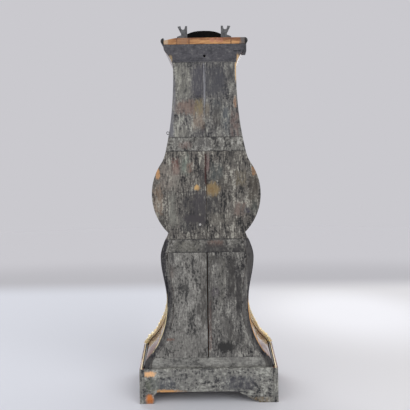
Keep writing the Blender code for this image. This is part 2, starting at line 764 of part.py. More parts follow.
def cornice_path():
    """Along one side, mitred round the front corner, over the arched crest and back."""
    middle = Z_TOP - CORNICE_RADIUS
    y_front = Y_FRONT - GAP
    back, corner = top_half(Y_BACK) + GAP, top_half(Y_SIDE_FRONT) + GAP
    right = [((back, Y_BACK, middle), (1, 0, 0), (0, 0, 1))]
    right.append(((corner, Y_SIDE_FRONT, middle), (1, 0, 0), (0, 0, 1)))
    right.append(((corner, y_front, middle), (1, -1, 0), (0, 0, 1)))
    right.append(((CREST_HALF - CORNICE_RADIUS, y_front, middle), (0, -1, 0), (1, 0, 1)))
    arch = []
    for i in range(CREST_STEPS + 1):
        angle = math.pi * i / CREST_STEPS
        x, z = crest_point(angle, CORNICE_RADIUS)
        arch.append(((x, y_front, z), (0, -1, 0), crest_normal(angle)))
    return right + arch + mirrored(right)


def moulding(name, path, radius, finish, count=6):
    """A half-round strip along a path of (point, outward direction, upward direction) stations."""
    rings = []
    for point, outward, upward in path:
        ring = []
        for i in range(count + 1):
            angle = math.pi * (i / count - 0.5)
            out, up = radius * math.cos(angle), radius * math.sin(angle)
            ring.append(tuple(p + out * o + up * u for p, o, u in zip(point, outward, upward)))
        rings.append(ring)
    return loft(name, rings, finish)


def bed_mould():
    """The short grey block that fills the hollow under the left end of the top."""
    low, high = Z_TRUNK_TOP - BED_MOULD_HEIGHT, Z_TRUNK_TOP
    heights = rows(low, high)
    rings = []
    for y in (Y_BACK - BED_MOULD_LENGTH, Y_SIDE_BACK, Y_BACK):
        face = [(-(side_half(z, y) + GAP), z) for z in heights]
        outside = -BED_MOULD_HALF
        rings.append([(x, y, z) for x, z in face + [(outside, high), (outside, low)]])
    loft("bed_mould_left", rings, "slate_paint")


def plinth_moulding():
    """The black half-round that covers the joint of base and plinth on three sides."""
    z = PLINTH_HEIGHT + GAP + PLINTH_MOULDING_RADIUS
    y_front = base_front(PLINTH_HEIGHT) - GAP
    y_corner = base_front(PLINTH_HEIGHT) + FRONT_BOARD + GAP
    covered = rows(PLINTH_HEIGHT, z + PLINTH_MOULDING_RADIUS)
    back = max(back_half(height) for height in covered) + GAP
    corner = max(front_half(height) for height in covered) + GAP
    up = (0, 0, 1)
    half = [((back, Y_BACK, z), (1, 0, 0), up), ((corner, y_corner, z), (1, 0, 0), up)]
    half.append(((corner, y_front, z), (1, -1, 0), up))
    moulding("plinth_moulding", half + mirrored(half), PLINTH_MOULDING_RADIUS, "ebonised")


def corner_mounts():
    """Gilt strips down the front corners of the base, with a scroll at the knee and a toe."""
    low = PLINTH_HEIGHT + 2 * PLINTH_MOULDING_RADIUS + 2 * GAP
    toe = PLINTH_HEIGHT + MOUNT_TOE
    stops = [(low, MOUNT_FOOT), (toe - MOUNT_TOE_STEP, MOUNT_FOOT), (toe, MOUNT_SCROLL)]
    stops += [(PLINTH_HEIGHT + MOUNT_WAIST, MOUNT_BODY), (PLINTH_HEIGHT + MOUNT_KNEE, MOUNT_SCROLL)]
    stops += [(PLINTH_HEIGHT + MOUNT_LEAF, MOUNT_BODY), (PLINTH_HEIGHT + MOUNT_TOP, MOUNT_STRIP)]
    stations = []
    for (z0, out0), (z1, out1) in zip(stops, stops[1:]):
        for z in rows(z0, z1)[:-1]:
            stations.append((z, between(z, (z0, out0, 0.0), (z1, out1, 0.0))))
    stations.append(stops[-1])
    for name, side in (("corner_mount_left", -1), ("corner_mount_right", 1)):
        rings = []
        for z, out in stations:
            x, y = front_half(z) + GAP, base_front(z) - GAP
            ring = [(x, y + MOUNT_SIDE_LAP), (x, y), (x - MOUNT_FRONT_LAP, y)]
            ring += [(x - MOUNT_FRONT_LAP, y - MOUNT_STRIP), (x + out / 2, y - MOUNT_STRIP)]
            ring += [(x + out, y + MOUNT_STRIP), (x + out, y + MOUNT_SIDE_LAP)]
            rings.append([(side * px, py, z) for px, py in ring])
        loft(name, rings, "gilt_bronze")


def fork_outline():
    """Half of the fork pair, outwards from the inner tine and up from the flange."""
    notch_floor = FORK_HEIGHT - FORK_NOTCH_DEPTH
    notch_end = FORK_WIDTH - FORK_OUTER_TINE
    radius = (notch_end - FORK_TINE) / 2
    middle = FORK_TINE + radius
    outline = [(0, 0), (FORK_FLANGE, 0), (FORK_FLANGE, 0.6 * FORK_FLANGE_HEIGHT)]
    outline += [(FORK_STEM, FORK_FLANGE_HEIGHT), (FORK_STEM, 1.4 * FORK_FLANGE_HEIGHT)]
    outline += [(FORK_WIDTH, 0.96 * FORK_HEIGHT), (notch_end, FORK_HEIGHT)]
    for i in range(7):
        angle = math.pi * i / 6
        up = notch_floor + 0.4 * FORK_NOTCH_DEPTH * (1 - math.sin(angle))
        outline.append((middle + 0.8 * radius * math.cos(angle), up))
    return outline + [(FORK_TINE, FORK_HEIGHT), (0, FORK_HEIGHT)]


def fork_brackets():
    """Two forked iron brackets that stand on the top board near its back edge."""
    y = Y_BACK - FORK_INSET
    for name, side in (("fork_bracket_left", -1), ("fork_bracket_right", 1)):
        outline = [(side * (FORK_INNER_X + u), Z_TOP + GAP + v) for u, v in fork_outline()]
        prism(name, outline, y - FORK_PLATE / 2, y + FORK_PLATE / 2, "iron")


def door_outline(grow):
    """The door's shape, straight-sided with a low crown, or its doorway if grown."""
    half, low, high = DOOR_HALF + grow, Z_DOOR_LOW - grow, Z_DOOR_HIGH + grow
    outline = [(-half, low), (half, low)]
    for i in range(13):
        angle = math.pi * i / 12
        outline.append((half * math.cos(angle), high - DOOR_CROWN * (1 - math.sin(angle))))
    return outline


def trunk_front():
    """The front board, with its arched crest, dial opening, doorway and bezel knuckles."""
    heights = rows(Z_WAIST + GAP, Z_TRUNK_TOP)
    right = [(front_half(z), z) for z in heights]
    shoulder = front_half(Z_TRUNK_TOP)
    arch = [crest_point(math.pi * i / CREST_STEPS, 0.0) for i in range(CREST_STEPS + 1)]
    outline = right + [(shoulder, Z_TOP)] + arch
    outline += [(-shoulder, Z_TOP)] + [(-x, z) for x, z in right[::-1]]
    front = prism("trunk_front", outline, Y_FRONT, Y_FRONT_IN, "veneer")
    past = FRONT_BOARD
    cut(front, prism("doorway", door_outline(DOOR_CLEARANCE), Y_FRONT - past, Y_FRONT_IN + past))
    bore(front, CENTRE_AT, DIAL_OPENING, Y_FRONT - past, Y_FRONT_IN + past, steps=40)
    x, y = bezel_axis()
    for label, low, high in (("lower", -3, -1), ("upper", 1, 3)):
        z_low = Z_DIAL + low * BEZEL_KNUCKLE / 2 + (RUN if label == "upper" else 0)
        z_high = Z_DIAL + high * BEZEL_KNUCKLE / 2 - (RUN if label == "lower" else 0)
        lug = block(
            "bezel_lug_" + label,
            (x - KNUCKLE_RADIUS / 2, y, z_low),
            (x + KNUCKLE_RADIUS / 2, Y_FRONT + FRONT_BOARD / 2, z_high),
        )
        knuckle = rod("bezel_case_knuckle_" + label, (x, y, 0), KNUCKLE_RADIUS, z_low, z_high, "Z")
        join(front, lug, knuckle)
    reach = 3 * BEZEL_KNUCKLE / 2 - BEZEL_KNUCKLE / 4
    join(front, rod("bezel_pin", (x, y, 0), PIN_RADIUS, Z_DIAL - reach, Z_DIAL + reach, "Z", steps=10))


def bezel_axis():
    """Where the dial bezel's hinge pin stands, as (x, y)."""
    x = DIAL_OPENING + DIAL_BEZEL_LAP + BEZEL_HINGE_STANDOFF
    return x, Y_FRONT - GAP - KNUCKLE_RADIUS


def glazed_rim(name, middle, inner, outer, height, y_back):
    """A turned rim with a rebate behind its lip, and the pane that sits in the rebate."""
    y_front = y_back - height
    y_lip = y_front + 0.3 * height
    seat = inner + GLASS_REBATE
    profile = [(outer, y_back), (outer, y_back - 0.45 * height), (0.5 * (inner + outer), y_front)]
    profile += [(inner, y_front + 0.15 * height), (inner, y_lip), (seat, y_lip), (seat, y_back)]
    rim = turned(name + "_bezel", profile, middle, "Y", "gilt_bronze", 36)
    pane_profile = [(0, y_lip + GAP), (seat - GAP, y_lip + GAP)]
    pane_profile += [(seat - GAP, y_lip + GAP + GLASS), (0, y_lip + GAP + GLASS)]
    pane = turned(name + "_glass", pane_profile, middle, "Y", "glass", 36)
    return rim, pane


def dial_bezel():
    """The glazed bezel in front of the dial, hinged on the right."""
    outer = DIAL_OPENING + DIAL_BEZEL_LAP
    middle = (0, 0, Z_DIAL)
    rim, pane = glazed_rim(
        "dial", middle, DIAL_BEZEL_INNER, outer, DIAL_BEZEL_HEIGHT, Y_FRONT - GAP
    )
    x, y = bezel_axis()
    half = BEZEL_KNUCKLE / 2
    arm = block(
        "bezel_arm",
        (outer - 0.4 * DIAL_BEZEL_LAP, y - KNUCKLE_RADIUS / 2, Z_DIAL - half),
        (x, y + KNUCKLE_RADIUS / 2, Z_DIAL + half),
    )
    knuckle = rod("bezel_knuckle", (x, y, 0), KNUCKLE_RADIUS, Z_DIAL - half, Z_DIAL + half, "Z")
    join(rim, arm, knuckle)
    bore(rim, (x, y), PIN_RADIUS + RUN, Z_DIAL - 2 * half, Z_DIAL + 2 * half, "Z", 10)
    hang("bezel_hinge_axis", (x, y, Z_DIAL), (rim, pane))


def hinge_leaf(name, at, z_middle, toward, inner):
    """One leaf of a butt hinge: the inner leaf has the middle knuckle, the outer the pin."""
    x, face = at
    y_axis = face - GAP - KNUCKLE_RADIUS
    low, high = z_middle - HINGE_HEIGHT / 2, z_middle + HINGE_HEIGHT / 2
    split = HINGE_HEIGHT / 6
    past = x + toward * (KNUCKLE_RADIUS + 2 * RUN)
    far = x + toward * LEAF_WIDTH
    if inner:
        mid_low, mid_high = z_middle - split, z_middle + split
        edge = [(past, high), (past, mid_high), (x, mid_high)]
        edge += [(x, mid_low), (past, mid_low), (past, low)]
    else:
        mid_low, mid_high = z_middle - split - RUN, z_middle + split + RUN
        edge = [(x, high), (x, mid_high), (past, mid_high)]
        edge += [(past, mid_low), (x, mid_low), (x, low)]
    leaf = prism(name, edge + [(far, low), (far, high)], face - GAP - LEAF, face - GAP, "brass")
    axis = (x, y_axis, 0)
    if inner:
        join(leaf, rod(name + "_knuckle", axis, KNUCKLE_RADIUS, mid_low, mid_high, "Z"))
        bore(leaf, (x, y_axis), PIN_RADIUS + RUN, low, high, "Z", 10)
    else:
        join(leaf, rod(name + "_knuckle_low", axis, KNUCKLE_RADIUS, low, mid_low, "Z"))
        join(leaf, rod(name + "_knuckle_high", axis, KNUCKLE_RADIUS, mid_high, high, "Z"))
        join(leaf, rod(name + "_pin", axis, PIN_RADIUS, low + split, high - split, "Z", steps=10))
    return leaf


def trunk_door():
    """The long door with its glazed lunette, two butt hinges and the key in its lock."""
    door = prism("trunk_door", door_outline(0.0), Y_FRONT, Y_FRONT_IN, "veneer")
    past = FRONT_BOARD
    bore(door, (0, Z_BULGE), LUNETTE_RADIUS, Y_FRONT - past, Y_FRONT_IN + past, steps=40)
    rim, pane = glazed_rim(
        "lunette",
        (0, 0, Z_BULGE),
        LUNETTE_RADIUS - GLASS_REBATE,
        LUNETTE_RADIUS + LUNETTE_RIM,
        RIM_HEIGHT,
        Y_FRONT - GAP,
    )
    x = DOOR_HALF + DOOR_CLEARANCE / 2
    straight_top = Z_DOOR_HIGH - DOOR_CROWN
    leaves = []
    for label, z in (("lower", Z_DOOR_LOW + HINGE_INSET), ("upper", straight_top - HINGE_INSET)):
        hinge_leaf("hinge_" + label + "_case", (x, Y_FRONT), z, 1, False)
        leaves.append(hinge_leaf("hinge_" + label + "_door", (x, Y_FRONT), z, -1, True))
    key = door_key(door)
    axis = (x, Y_FRONT - GAP - KNUCKLE_RADIUS, Z_DOOR_LOW)
    hook = hang("door_hinge_axis", axis, [door, rim, pane] + leaves)
    hang("key_axis", (key_x(), Y_FRONT, Z_BULGE + KEY_RISE), (key,), hook)


def key_x():
    return -DOOR_HALF + KEY_INSET


def door_key(door):
    """A key through the left stile, with a bow in front and a turning bit behind the door."""
    x, z = key_x(), Z_BULGE + KEY_RISE
    y_front, y_back = Y_FRONT - KEY_REACH, Y_FRONT_IN + GAP + KEY_BIT_PLATE
    middle = (x, 0, z)
    key = rod("door_key", middle, KEY_RADIUS, y_front, y_back, "Y", "steel", 12)
    bow = tube("key_bow", (0, 0, 0), KEY_BOW_HOLE, KEY_BOW_RADIUS, -KEY_BOW / 2, KEY_BOW / 2, "Z")
    y_bow = y_front - KEY_BOW_RADIUS + 0.5 * (KEY_BOW_RADIUS - KEY_BOW_HOLE)
    upright = Matrix.Rotation(math.pi / 2, 4, "Y")
    bow.data.transform(Matrix.Translation((x, y_bow, z)) @ upright)
    bit = block(
        "key_bit",
        (x - KEY_BIT_WIDTH / 2, Y_FRONT_IN + GAP, z - KEY_BIT_WIDTH / 2),
        (x + KEY_BIT_WIDTH / 2, y_back, z + KEY_BIT),
    )
    join(key, bow, bit)
    bore(door, (x, z), KEY_RADIUS + RUN, Y_FRONT - FRONT_BOARD, Y_FRONT_IN + FRONT_BOARD, steps=12)
    return key


def seat_board():
    """The shelf between the trunk sides that carries the movement."""
    y_front = Y_SIDE_FRONT + SEAT_FRONT
    y_back = y_front + SEAT_DEPTH
    low, high = Z_SEAT - GAP - SEAT_BOARD, Z_SEAT - GAP
    rings = []
    for z in (low, high):
        ring = []
        for y, sign in ((y_front, -1), (y_front, 1), (y_back, 1), (y_back, -1)):
            ring.append((sign * (side_half(z, y) - TRUNK_SIDE - 2 * GAP), y, z))
        rings.append(ring)
    loft("seat_board", rings, "bare_oak")


def plate_outline():
    low, high = Z_SEAT, Z_DIAL + PLATE_RISE
    return [(-PLATE_HALF, low), (PLATE_HALF, low), (PLATE_HALF, high), (-PLATE_HALF, high)]


def pivot_bores(plate, y_front, y_back, wide):
    """Pivot holes in a plate; the arbors named in wide pass right through with their hubs."""
    for at, radius in (
        (CENTRE_AT, ARBOR_RADIUS),
        (THIRD_AT, ARBOR_RADIUS),
        (ESCAPE_AT, ARBOR_RADIUS),
        (PALLET_AT, ARBOR_RADIUS),
        (BARREL_AT, wide),
    ):
        bore(plate, at, radius + RUN, y_front - PLATE, y_back + PLATE, steps=12)


def plates():
    """Front plate, back plate with its four riveted pillars, and the suspension cock."""
    front = prism("front_plate", plate_outline(), Y_PLATE, Y_PLATE_IN, "brass")
    pivot_bores(front, Y_PLATE, Y_PLATE_IN, WINDING_RADIUS)
    bore(front, MINUTE_AT, ARBOR_RADIUS + RUN, Y_PLATE - PLATE, Y_PLATE_IN + PLATE, steps=12)
    back = prism("back_plate", plate_outline(), Y_BACK_PLATE, Y_PLATES_END, "brass")
    pivot_bores(back, Y_BACK_PLATE, Y_PLATES_END, WINDING_RADIUS)
    x = PLATE_HALF - PILLAR_INSET
    for z in (Z_SEAT + PILLAR_INSET, Z_DIAL + PLATE_RISE - PILLAR_INSET):
        for side in (-x, x):
            middle = (side, 0, z)
            join(back, rod("pillar", middle, PILLAR_RADIUS, Y_PLATE_IN + GAP, Y_PLATES_END - GAP, "Y"))
    suspension_cock()


def suspension_cock():
    """A bracket on the back plate: two legs and the bar that the pendulum hangs from."""
    x, z = PALLET_AT
    low = z + SUSPENSION_STRIP + GAP
    high = low + COCK_BAR
    y_end = Y_PLATES_END + GAP + COCK_REACH
    outline = [(-COCK_HALF, Y_PLATES_END + GAP), (-COCK_HALF + COCK_LEG, Y_PLATES_END + GAP)]
    y_bar = Y_PENDULUM - COCK_BAR / 2
    outline += [(-COCK_HALF + COCK_LEG, y_bar), (COCK_HALF - COCK_LEG, y_bar)]
    outline += [(COCK_HALF - COCK_LEG, Y_PLATES_END + GAP), (COCK_HALF, Y_PLATES_END + GAP)]
    outline += [(COCK_HALF, y_end), (-COCK_HALF, y_end)]
    rings = [[(x + u, y, height) for u, y in outline] for height in (low, high)]
    loft("suspension_cock", rings, "brass")


def dial():
    """The enamelled dial plate with its holes and the three feet that reach the front plate."""
    plate = rod(
        "dial", (0, 0, Z_DIAL), DIAL_OPENING + DIAL_LAP, Y_DIAL, Y_DIAL_BACK, "Y", "enamel", 40
    )
    reach = PLATE_HALF - PILLAR_INSET
    for turn in (1 / 12, 5 / 12, 9 / 12):
        x, z = across(math.tau * turn, DIAL_FOOT_CIRCLE)
        x = min(max(x, -reach), reach)
        foot = rod("dial_foot", (x, 0, z), DIAL_FOOT_RADIUS, Y_DIAL + GAP, Y_PLATE - GAP, "Y", steps=10)
        join(plate, foot)
    bore(plate, CENTRE_AT, HOUR_PIPE + 2 * RUN, Y_DIAL - PLATE, Y_DIAL_BACK + PLATE)
    bore(plate, BARREL_AT, WINDING_RADIUS + 2 * RUN, Y_DIAL - PLATE, Y_DIAL_BACK + PLATE)


def toothed(teeth, module, phase, at, sizes):
    """Outline of a wheel or pinion about a place, with a tooth in the direction of phase."""
    addendum, dedendum, root_half, tip_half = sizes
    pitch_radius = module * teeth / 2
    root, tip = pitch_radius - dedendum * module, pitch_radius + addendum * module
    pitch = math.tau / teeth
    outline = []
    for i in range(teeth):
        middle = phase + i * pitch
        for share, radius in ((-root_half, root), (-tip_half, tip), (tip_half, tip), (root_half, root)):
            outline.append(across(middle + share * pitch, radius, at))
    return outline


WHEEL_TEETH = (WHEEL_ADDENDUM, WHEEL_DEDENDUM, TOOTH_ROOT, TOOTH_TIP)
PINION_LEAVES = (PINION_ADDENDUM, PINION_DEDENDUM, LEAF_ROOT, LEAF_TIP)


def facing(start, end):
    """The direction from one arbor to another."""
    return math.atan2(end[1] - start[1], end[0] - start[0])


def wheel_outline(teeth, module, at, mate):
    """A wheel with a tooth on the line to its mate."""
    return toothed(teeth, module, facing(at, mate), at, WHEEL_TEETH)


def pinion_outline(teeth, module, at, mate):
    """A pinion with a space on the line to its mate."""
    return toothed(teeth, module, facing(at, mate) + math.pi / teeth, at, PINION_LEAVES)


def upright(at):
    """The point at no depth on an arbor's line."""
    return (at[0], 0.0, at[1])


def barrel():
    """Great wheel and spring drum in one turned body, on the squared winding arbor."""
    outline = wheel_outline(GREAT_TEETH, GREAT_MODULE, BARREL_AT, CENTRE_AT)
    wheel = prism("barrel", outline, Y_GREAT, Y_DRUM, "brass")
    hole = WINDING_RADIUS + RUN
    inside = DRUM_RADIUS - DRUM_WALL
    end = Y_DRUM + DRUM_DEPTH
    start = Y_DRUM - GREAT_WHEEL / 2
    profile = [(hole, start), (DRUM_RADIUS, start), (DRUM_RADIUS, end), (hole, end)]
    profile += [(hole, end - DRUM_WALL), (inside, end - DRUM_WALL), (inside, Y_DRUM), (hole, Y_DRUM)]
    join(wheel, turned("drum", profile, upright(BARREL_AT), "Y", None, 30))
    bore(wheel, BARREL_AT, hole, Y_GREAT - PLATE, Y_DRUM, steps=30)
    winding_arbor()
    mainspring()
    hang("barrel_axis", (BARREL_AT[0], Y_GREAT, BARREL_AT[1]), (wheel,))


def winding_arbor():
    """The arbor through the barrel, with its ratchet wheel and the square for the key."""
    middle = upright(BARREL_AT)
    y_ratchet = Y_PLATE - GAP - GREAT_WHEEL
    start, end = Y_DIAL_BACK, Y_PLATES_END
    arbor = rod("winding_arbor", middle, WINDING_RADIUS, start, end, "Y", "steel", 12)
    hub_low, hub_high = Y_DRUM + GAP, Y_DRUM + DRUM_DEPTH - DRUM_WALL - GAP
    hub = rod("winding_hub", middle, WINDING_HUB, hub_low, hub_high, "Y", steps=12)
    outline = []
    for i in range(RATCHET_TEETH):
        angle = math.tau * i / RATCHET_TEETH
        outline.append(across(angle, RATCHET_RADIUS, BARREL_AT))
        outline.append(across(angle, 0.86 * RATCHET_RADIUS, BARREL_AT))
    join(arbor, hub, prism("ratchet", outline, y_ratchet, Y_PLATE - GAP))
    hang("winding_axis", (BARREL_AT[0], y_ratchet, BARREL_AT[1]), (arbor,))


def mainspring():
    """The coiled strip inside the drum, from its hub out to its wall."""
    inner = WINDING_HUB + GAP
    outer = DRUM_RADIUS - DRUM_WALL - GAP - SPRING_STRIP
    steps = SPRING_TURNS * 14
    low, high = Y_DRUM + 2 * GAP, Y_DRUM + DRUM_DEPTH - DRUM_WALL - 2 * GAP
    rings = []
    for i in range(steps + 1):
        angle = math.tau * SPRING_TURNS * i / steps
        radius = inner + (outer - inner) * i / steps
        far = radius + SPRING_STRIP
        ring = []
        for r, y in ((radius, low), (far, low), (far, high), (radius, high)):
            x, z = across(angle, r, BARREL_AT)
            ring.append((x, y, z))
        rings.append(ring)
    loft("mainspring", rings, "steel")


def wheel_and_pinion(name, at, wheel, pinion):
    """An arbor between the plates with one wheel and one pinion; each is (outline, y, depth)."""
    middle = upright(at)
    outline, y, depth = wheel
    piece = prism(name, outline, y, y + depth, "brass")
    outline, y, depth = pinion
    low, high = Y_PLATE_IN - PLATE / 2, Y_BACK_PLATE + PLATE / 2
    join(piece, prism(name + "_pinion", outline, y, y + depth))
    join(piece, rod(name + "_arbor", middle, ARBOR_RADIUS, low, high, "Y", steps=12))
    return piece


def train():
    """Centre, third and escape wheels."""
    y_third_pinion = Y_CENTRE_WHEEL - (PINION - WHEEL) / 2
    y_escape_pinion = Y_THIRD_WHEEL - (PINION - WHEEL) / 2
    y_centre_pinion = Y_GREAT - (PINION - GREAT_WHEEL) / 2
    centre = wheel_and_pinion(
        "centre_wheel",
        CENTRE_AT,
        (wheel_outline(CENTRE_TEETH, TRAIN_MODULE, CENTRE_AT, THIRD_AT), Y_CENTRE_WHEEL, WHEEL),
        (pinion_outline(LEAVES, GREAT_MODULE, CENTRE_AT, BARREL_AT), y_centre_pinion, PINION),
    )
    middle = upright(CENTRE_AT)
    nose = rod("centre_nose", middle, ARBOR_RADIUS, Y_MINUTE_HAND, Y_PLATE_IN, "Y", steps=12)
    join(centre, nose)
    third = wheel_and_pinion(
        "third_wheel",
        THIRD_AT,
        (wheel_outline(THIRD_TEETH, TRAIN_MODULE, THIRD_AT, ESCAPE_AT), Y_THIRD_WHEEL, WHEEL),
        (pinion_outline(LEAVES, TRAIN_MODULE, THIRD_AT, CENTRE_AT), y_third_pinion, PINION),
    )
    escape = wheel_and_pinion(
        "escape_wheel",
        ESCAPE_AT,
        (escape_outline(), Y_ESCAPE, WHEEL),
        (pinion_outline(LEAVES, TRAIN_MODULE, ESCAPE_AT, THIRD_AT), y_escape_pinion, PINION),
    )
    for piece, at in ((centre, CENTRE_AT), (third, THIRD_AT), (escape, ESCAPE_AT)):
        hang(piece.name + "_axis", (at[0], Y_PLATE_IN, at[1]), (piece,))


def escape_outline():
    """Pointed teeth that lean forward."""
    pitch = math.tau / ESCAPE_TEETH
    outline = []
    for i in range(ESCAPE_TEETH):
        angle = i * pitch
        for share, radius in ((-0.45, 0.80), (-0.20, 0.80), (0.0, 1.0), (0.06, 1.0)):
            outline.append(across(angle + share * pitch, radius * ESCAPE_RADIUS, ESCAPE_AT))
    return outline


def pallets():
    """The anchor over the escape wheel, on the arbor that carries the crutch behind the plates."""
    x, z = PALLET_AT
    half = ANCHOR_HALF_SPAN
    drop = 0.48 * PALLET_RISE
    right = [(half + 0.0025, -drop), (half, -0.32 * PALLET_RISE), (0.5 * half, 0.1 * PALLET_RISE)]
    inner = [(half - 0.0003, -drop), (0.75 * half, -0.27 * PALLET_RISE), (0.35 * half, -0.13 * PALLET_RISE)]
    outline = right + [(-u, v) for u, v in right[::-1]]
    outline += [(-u, v) for u, v in inner] + inner[::-1]
    outline = [(x + u, z + v) for u, v in outline]
    y = Y_ESCAPE + WHEEL / 2 - ANCHOR_PLATE / 2
    anchor = prism("pallets", outline, y, y + ANCHOR_PLATE, "steel")
    start, y_crutch = Y_PLATE_IN - PLATE / 2, Y_PLATES_END + 2 * CRUTCH_PLATE
    end = y_crutch + CRUTCH_PLATE / 2
    arbor = rod("pallet_arbor", upright(PALLET_AT), ARBOR_RADIUS, start, end, "Y", steps=12)
    foot = z - CRUTCH_LENGTH
    bar = block(
        "crutch",
        (x - CRUTCH_HALF, y_crutch, foot),
        (x + CRUTCH_HALF, y_crutch + CRUTCH_PLATE, z + CRUTCH_HALF),
    )
    join(anchor, arbor, bar)
    reach = ROD_HALF + RUN + 2 * CRUTCH_HALF
    slot = ROD_HALF + RUN
    y_end = Y_PENDULUM + ROD_PLATE / 2 + CRUTCH_PLATE
    y_slot = y_crutch + CRUTCH_PLATE
    outline = [(-reach, y_crutch), (reach, y_crutch), (reach, y_end), (slot, y_end)]
    outline += [(slot, y_slot), (-slot, y_slot), (-slot, y_end), (-reach, y_end)]
    low, high = foot - CRUTCH_HALF, foot + CRUTCH_HALF
    join(anchor, loft("crutch_fork", [[(x + u, y, h) for u, y in outline] for h in (low, high)]))
    hang("pallet_axis", (x, Y_PLATES_END, z), (anchor,))


def hand(name, length, at, pipe, y):
    """A pierced-steel style hand: boss, swelling blade and short tail, turned to its time."""
    boss = pipe + RUN + 2 * HAND_HALF / 2
    cosine, sine = math.cos(at), math.sin(at)
    blade = [(-0.6 * HAND_HALF, -0.22 * length), (0.6 * HAND_HALF, -0.22 * length)]
    blade += [(0.7 * HAND_HALF, 0.0), (0.45 * HAND_HALF, 0.45 * length), (HAND_HALF, 0.62 * length)]
    blade += [(0.35 * HAND_HALF, 0.78 * length), (0.1 * HAND_HALF, length)]
    blade += [(-0.1 * HAND_HALF, length), (-0.35 * HAND_HALF, 0.78 * length)]
    blade += [(-HAND_HALF, 0.62 * length), (-0.45 * HAND_HALF, 0.45 * length), (-0.7 * HAND_HALF, 0.0)]
    outline = [(u * cosine + v * sine, Z_DIAL + v * cosine - u * sine) for u, v in blade]
    piece = prism(name, outline, y, y + HAND_PLATE, "steel")
    join(piece, rod(name + "_boss", upright(CENTRE_AT), boss, y - HAND_PLATE / 4, y + HAND_PLATE, "Y"))
    bore(piece, CENTRE_AT, pipe + RUN, y - 2 * HAND_PLATE, y + 2 * HAND_PLATE)
    return piece


def motion_work():
    """Cannon, minute wheel and hour wheel behind the dial, and the two hands in front of it."""
    middle = upright(CENTRE_AT)
    wheel_depth = 2 * WHEEL
    y_minute = Y_MINUTE_HAND
    cannon_outline = pinion_outline(CANNON_TEETH, MINUTE_MODULE, CENTRE_AT, MINUTE_AT)
    cannon = prism("cannon_pinion", cannon_outline, Y_MOTION, Y_MOTION + wheel_depth, "brass")
    pipe_start = y_minute - HAND_PLATE
    join(cannon, rod("cannon_pipe", middle, CANNON_PIPE, pipe_start, Y_MOTION + GAP, "Y", steps=16))
    bore(cannon, CENTRE_AT, ARBOR_RADIUS + RUN, pipe_start - PLATE, Y_PLATE, steps=12)
    minute_outline = wheel_outline(MINUTE_TEETH, MINUTE_MODULE, MINUTE_AT, CENTRE_AT)
    minute = prism("minute_wheel", minute_outline, Y_MOTION, Y_MOTION + wheel_depth, "brass")
    leaves = pinion_outline(MINUTE_LEAVES, HOUR_MODULE, MINUTE_AT, CENTRE_AT)
    join(minute, prism("minute_pinion", leaves, Y_HOUR, Y_MOTION + GAP))
    tip = Y_PLATE + PLATE / 2
    stud = rod("minute_stud", upright(MINUTE_AT), ARBOR_RADIUS, Y_HOUR - GAP, tip, "Y", steps=12)
    join(minute, stud)
    hour_outline = wheel_outline(HOUR_TEETH, HOUR_MODULE, CENTRE_AT, MINUTE_AT)
    hour = prism("hour_wheel", hour_outline, Y_HOUR, Y_HOUR + wheel_depth, "brass")
    hour_start = Y_HOUR_HAND - HAND_PLATE
    join(hour, rod("hour_pipe", middle, HOUR_PIPE, hour_start, Y_HOUR + GAP, "Y", steps=16))
    bore(hour, CENTRE_AT, CANNON_PIPE + RUN, hour_start - PLATE, Y_MOTION - GAP, steps=16)
    minute_hand = hand("minute_hand", MINUTE_HAND_LENGTH, MINUTE_HAND_AT, CANNON_PIPE, y_minute)
    hour_hand = hand("hour_hand", HOUR_HAND_LENGTH, HOUR_HAND_AT, HOUR_PIPE, Y_HOUR_HAND)
    hang("minute_axis", (0, y_minute, Z_DIAL), (cannon, minute_hand))
    hang("minute_wheel_axis", (MINUTE_AT[0], Y_MOTION, MINUTE_AT[1]), (minute,))
    hang("hour_axis", (0, Y_HOUR_HAND, Z_DIAL), (hour, hour_hand))


def pendulum():
    """Suspension spring, flat rod, lens-shaped bob and the rating nut under it."""
    x, z = PALLET_AT
    half = SUSPENSION_STRIP / 2
    low = z - SUSPENSION_LENGTH
    spring = block(
        "suspension_spring",
        (x - SUSPENSION_HALF, Y_PENDULUM - half, low),
        (x + SUSPENSION_HALF, Y_PENDULUM + half, z + SUSPENSION_STRIP),
        "steel",
    )
    bob_low = Z_BULGE - BOB_RADIUS
    strip = ROD_PLATE / 2
    bar = block(
        "pendulum_rod",
        (x - ROD_HALF, Y_PENDULUM - strip, bob_low + NUT_HEIGHT / 4),
        (x + ROD_HALF, Y_PENDULUM + strip, low - GAP),
        "steel",
    )
    middle = (x, Y_PENDULUM, 0)
    screw_low, screw_high = bob_low - SCREW_LENGTH, bob_low + NUT_HEIGHT
    join(bar, rod("rating_screw", middle, SCREW_RADIUS, screw_low, screw_high, "Z", steps=12))
    profile = []
    for i in range(6):
        angle = math.pi / 2 * i / 5
        swell = BOB_RIM_HALF + (BOB_HALF - BOB_RIM_HALF) * math.cos(angle)
        profile.append((BOB_RADIUS * math.sin(angle), -swell))
    profile += [(r, -y) for r, y in profile[::-1]]
    bob = turned("pendulum_bob", profile, (x, Y_PENDULUM, Z_BULGE), "Y", "brass", 32)
    slot = block(
        "bob_slot",
        (x - ROD_HALF - GAP, Y_PENDULUM - strip - GAP, bob_low - BOB_RADIUS),
        (x + ROD_HALF + GAP, Y_PENDULUM + strip + GAP, Z_BULGE + 2 * BOB_RADIUS),
    )
    cut(bob, slot)
    nut_high = bob_low - GAP
    nut_low = nut_high - NUT_HEIGHT
    nut = tube("rating_nut", middle, SCREW_RADIUS + RUN, NUT_RADIUS, nut_low, nut_high, "Z", "brass", 20)
    hook = hang("pendulum_axis", (x, Y_PENDULUM, z), (spring, bar, bob))
    hang("nut_axis", (x, Y_PENDULUM, nut_low), (nut,), hook)


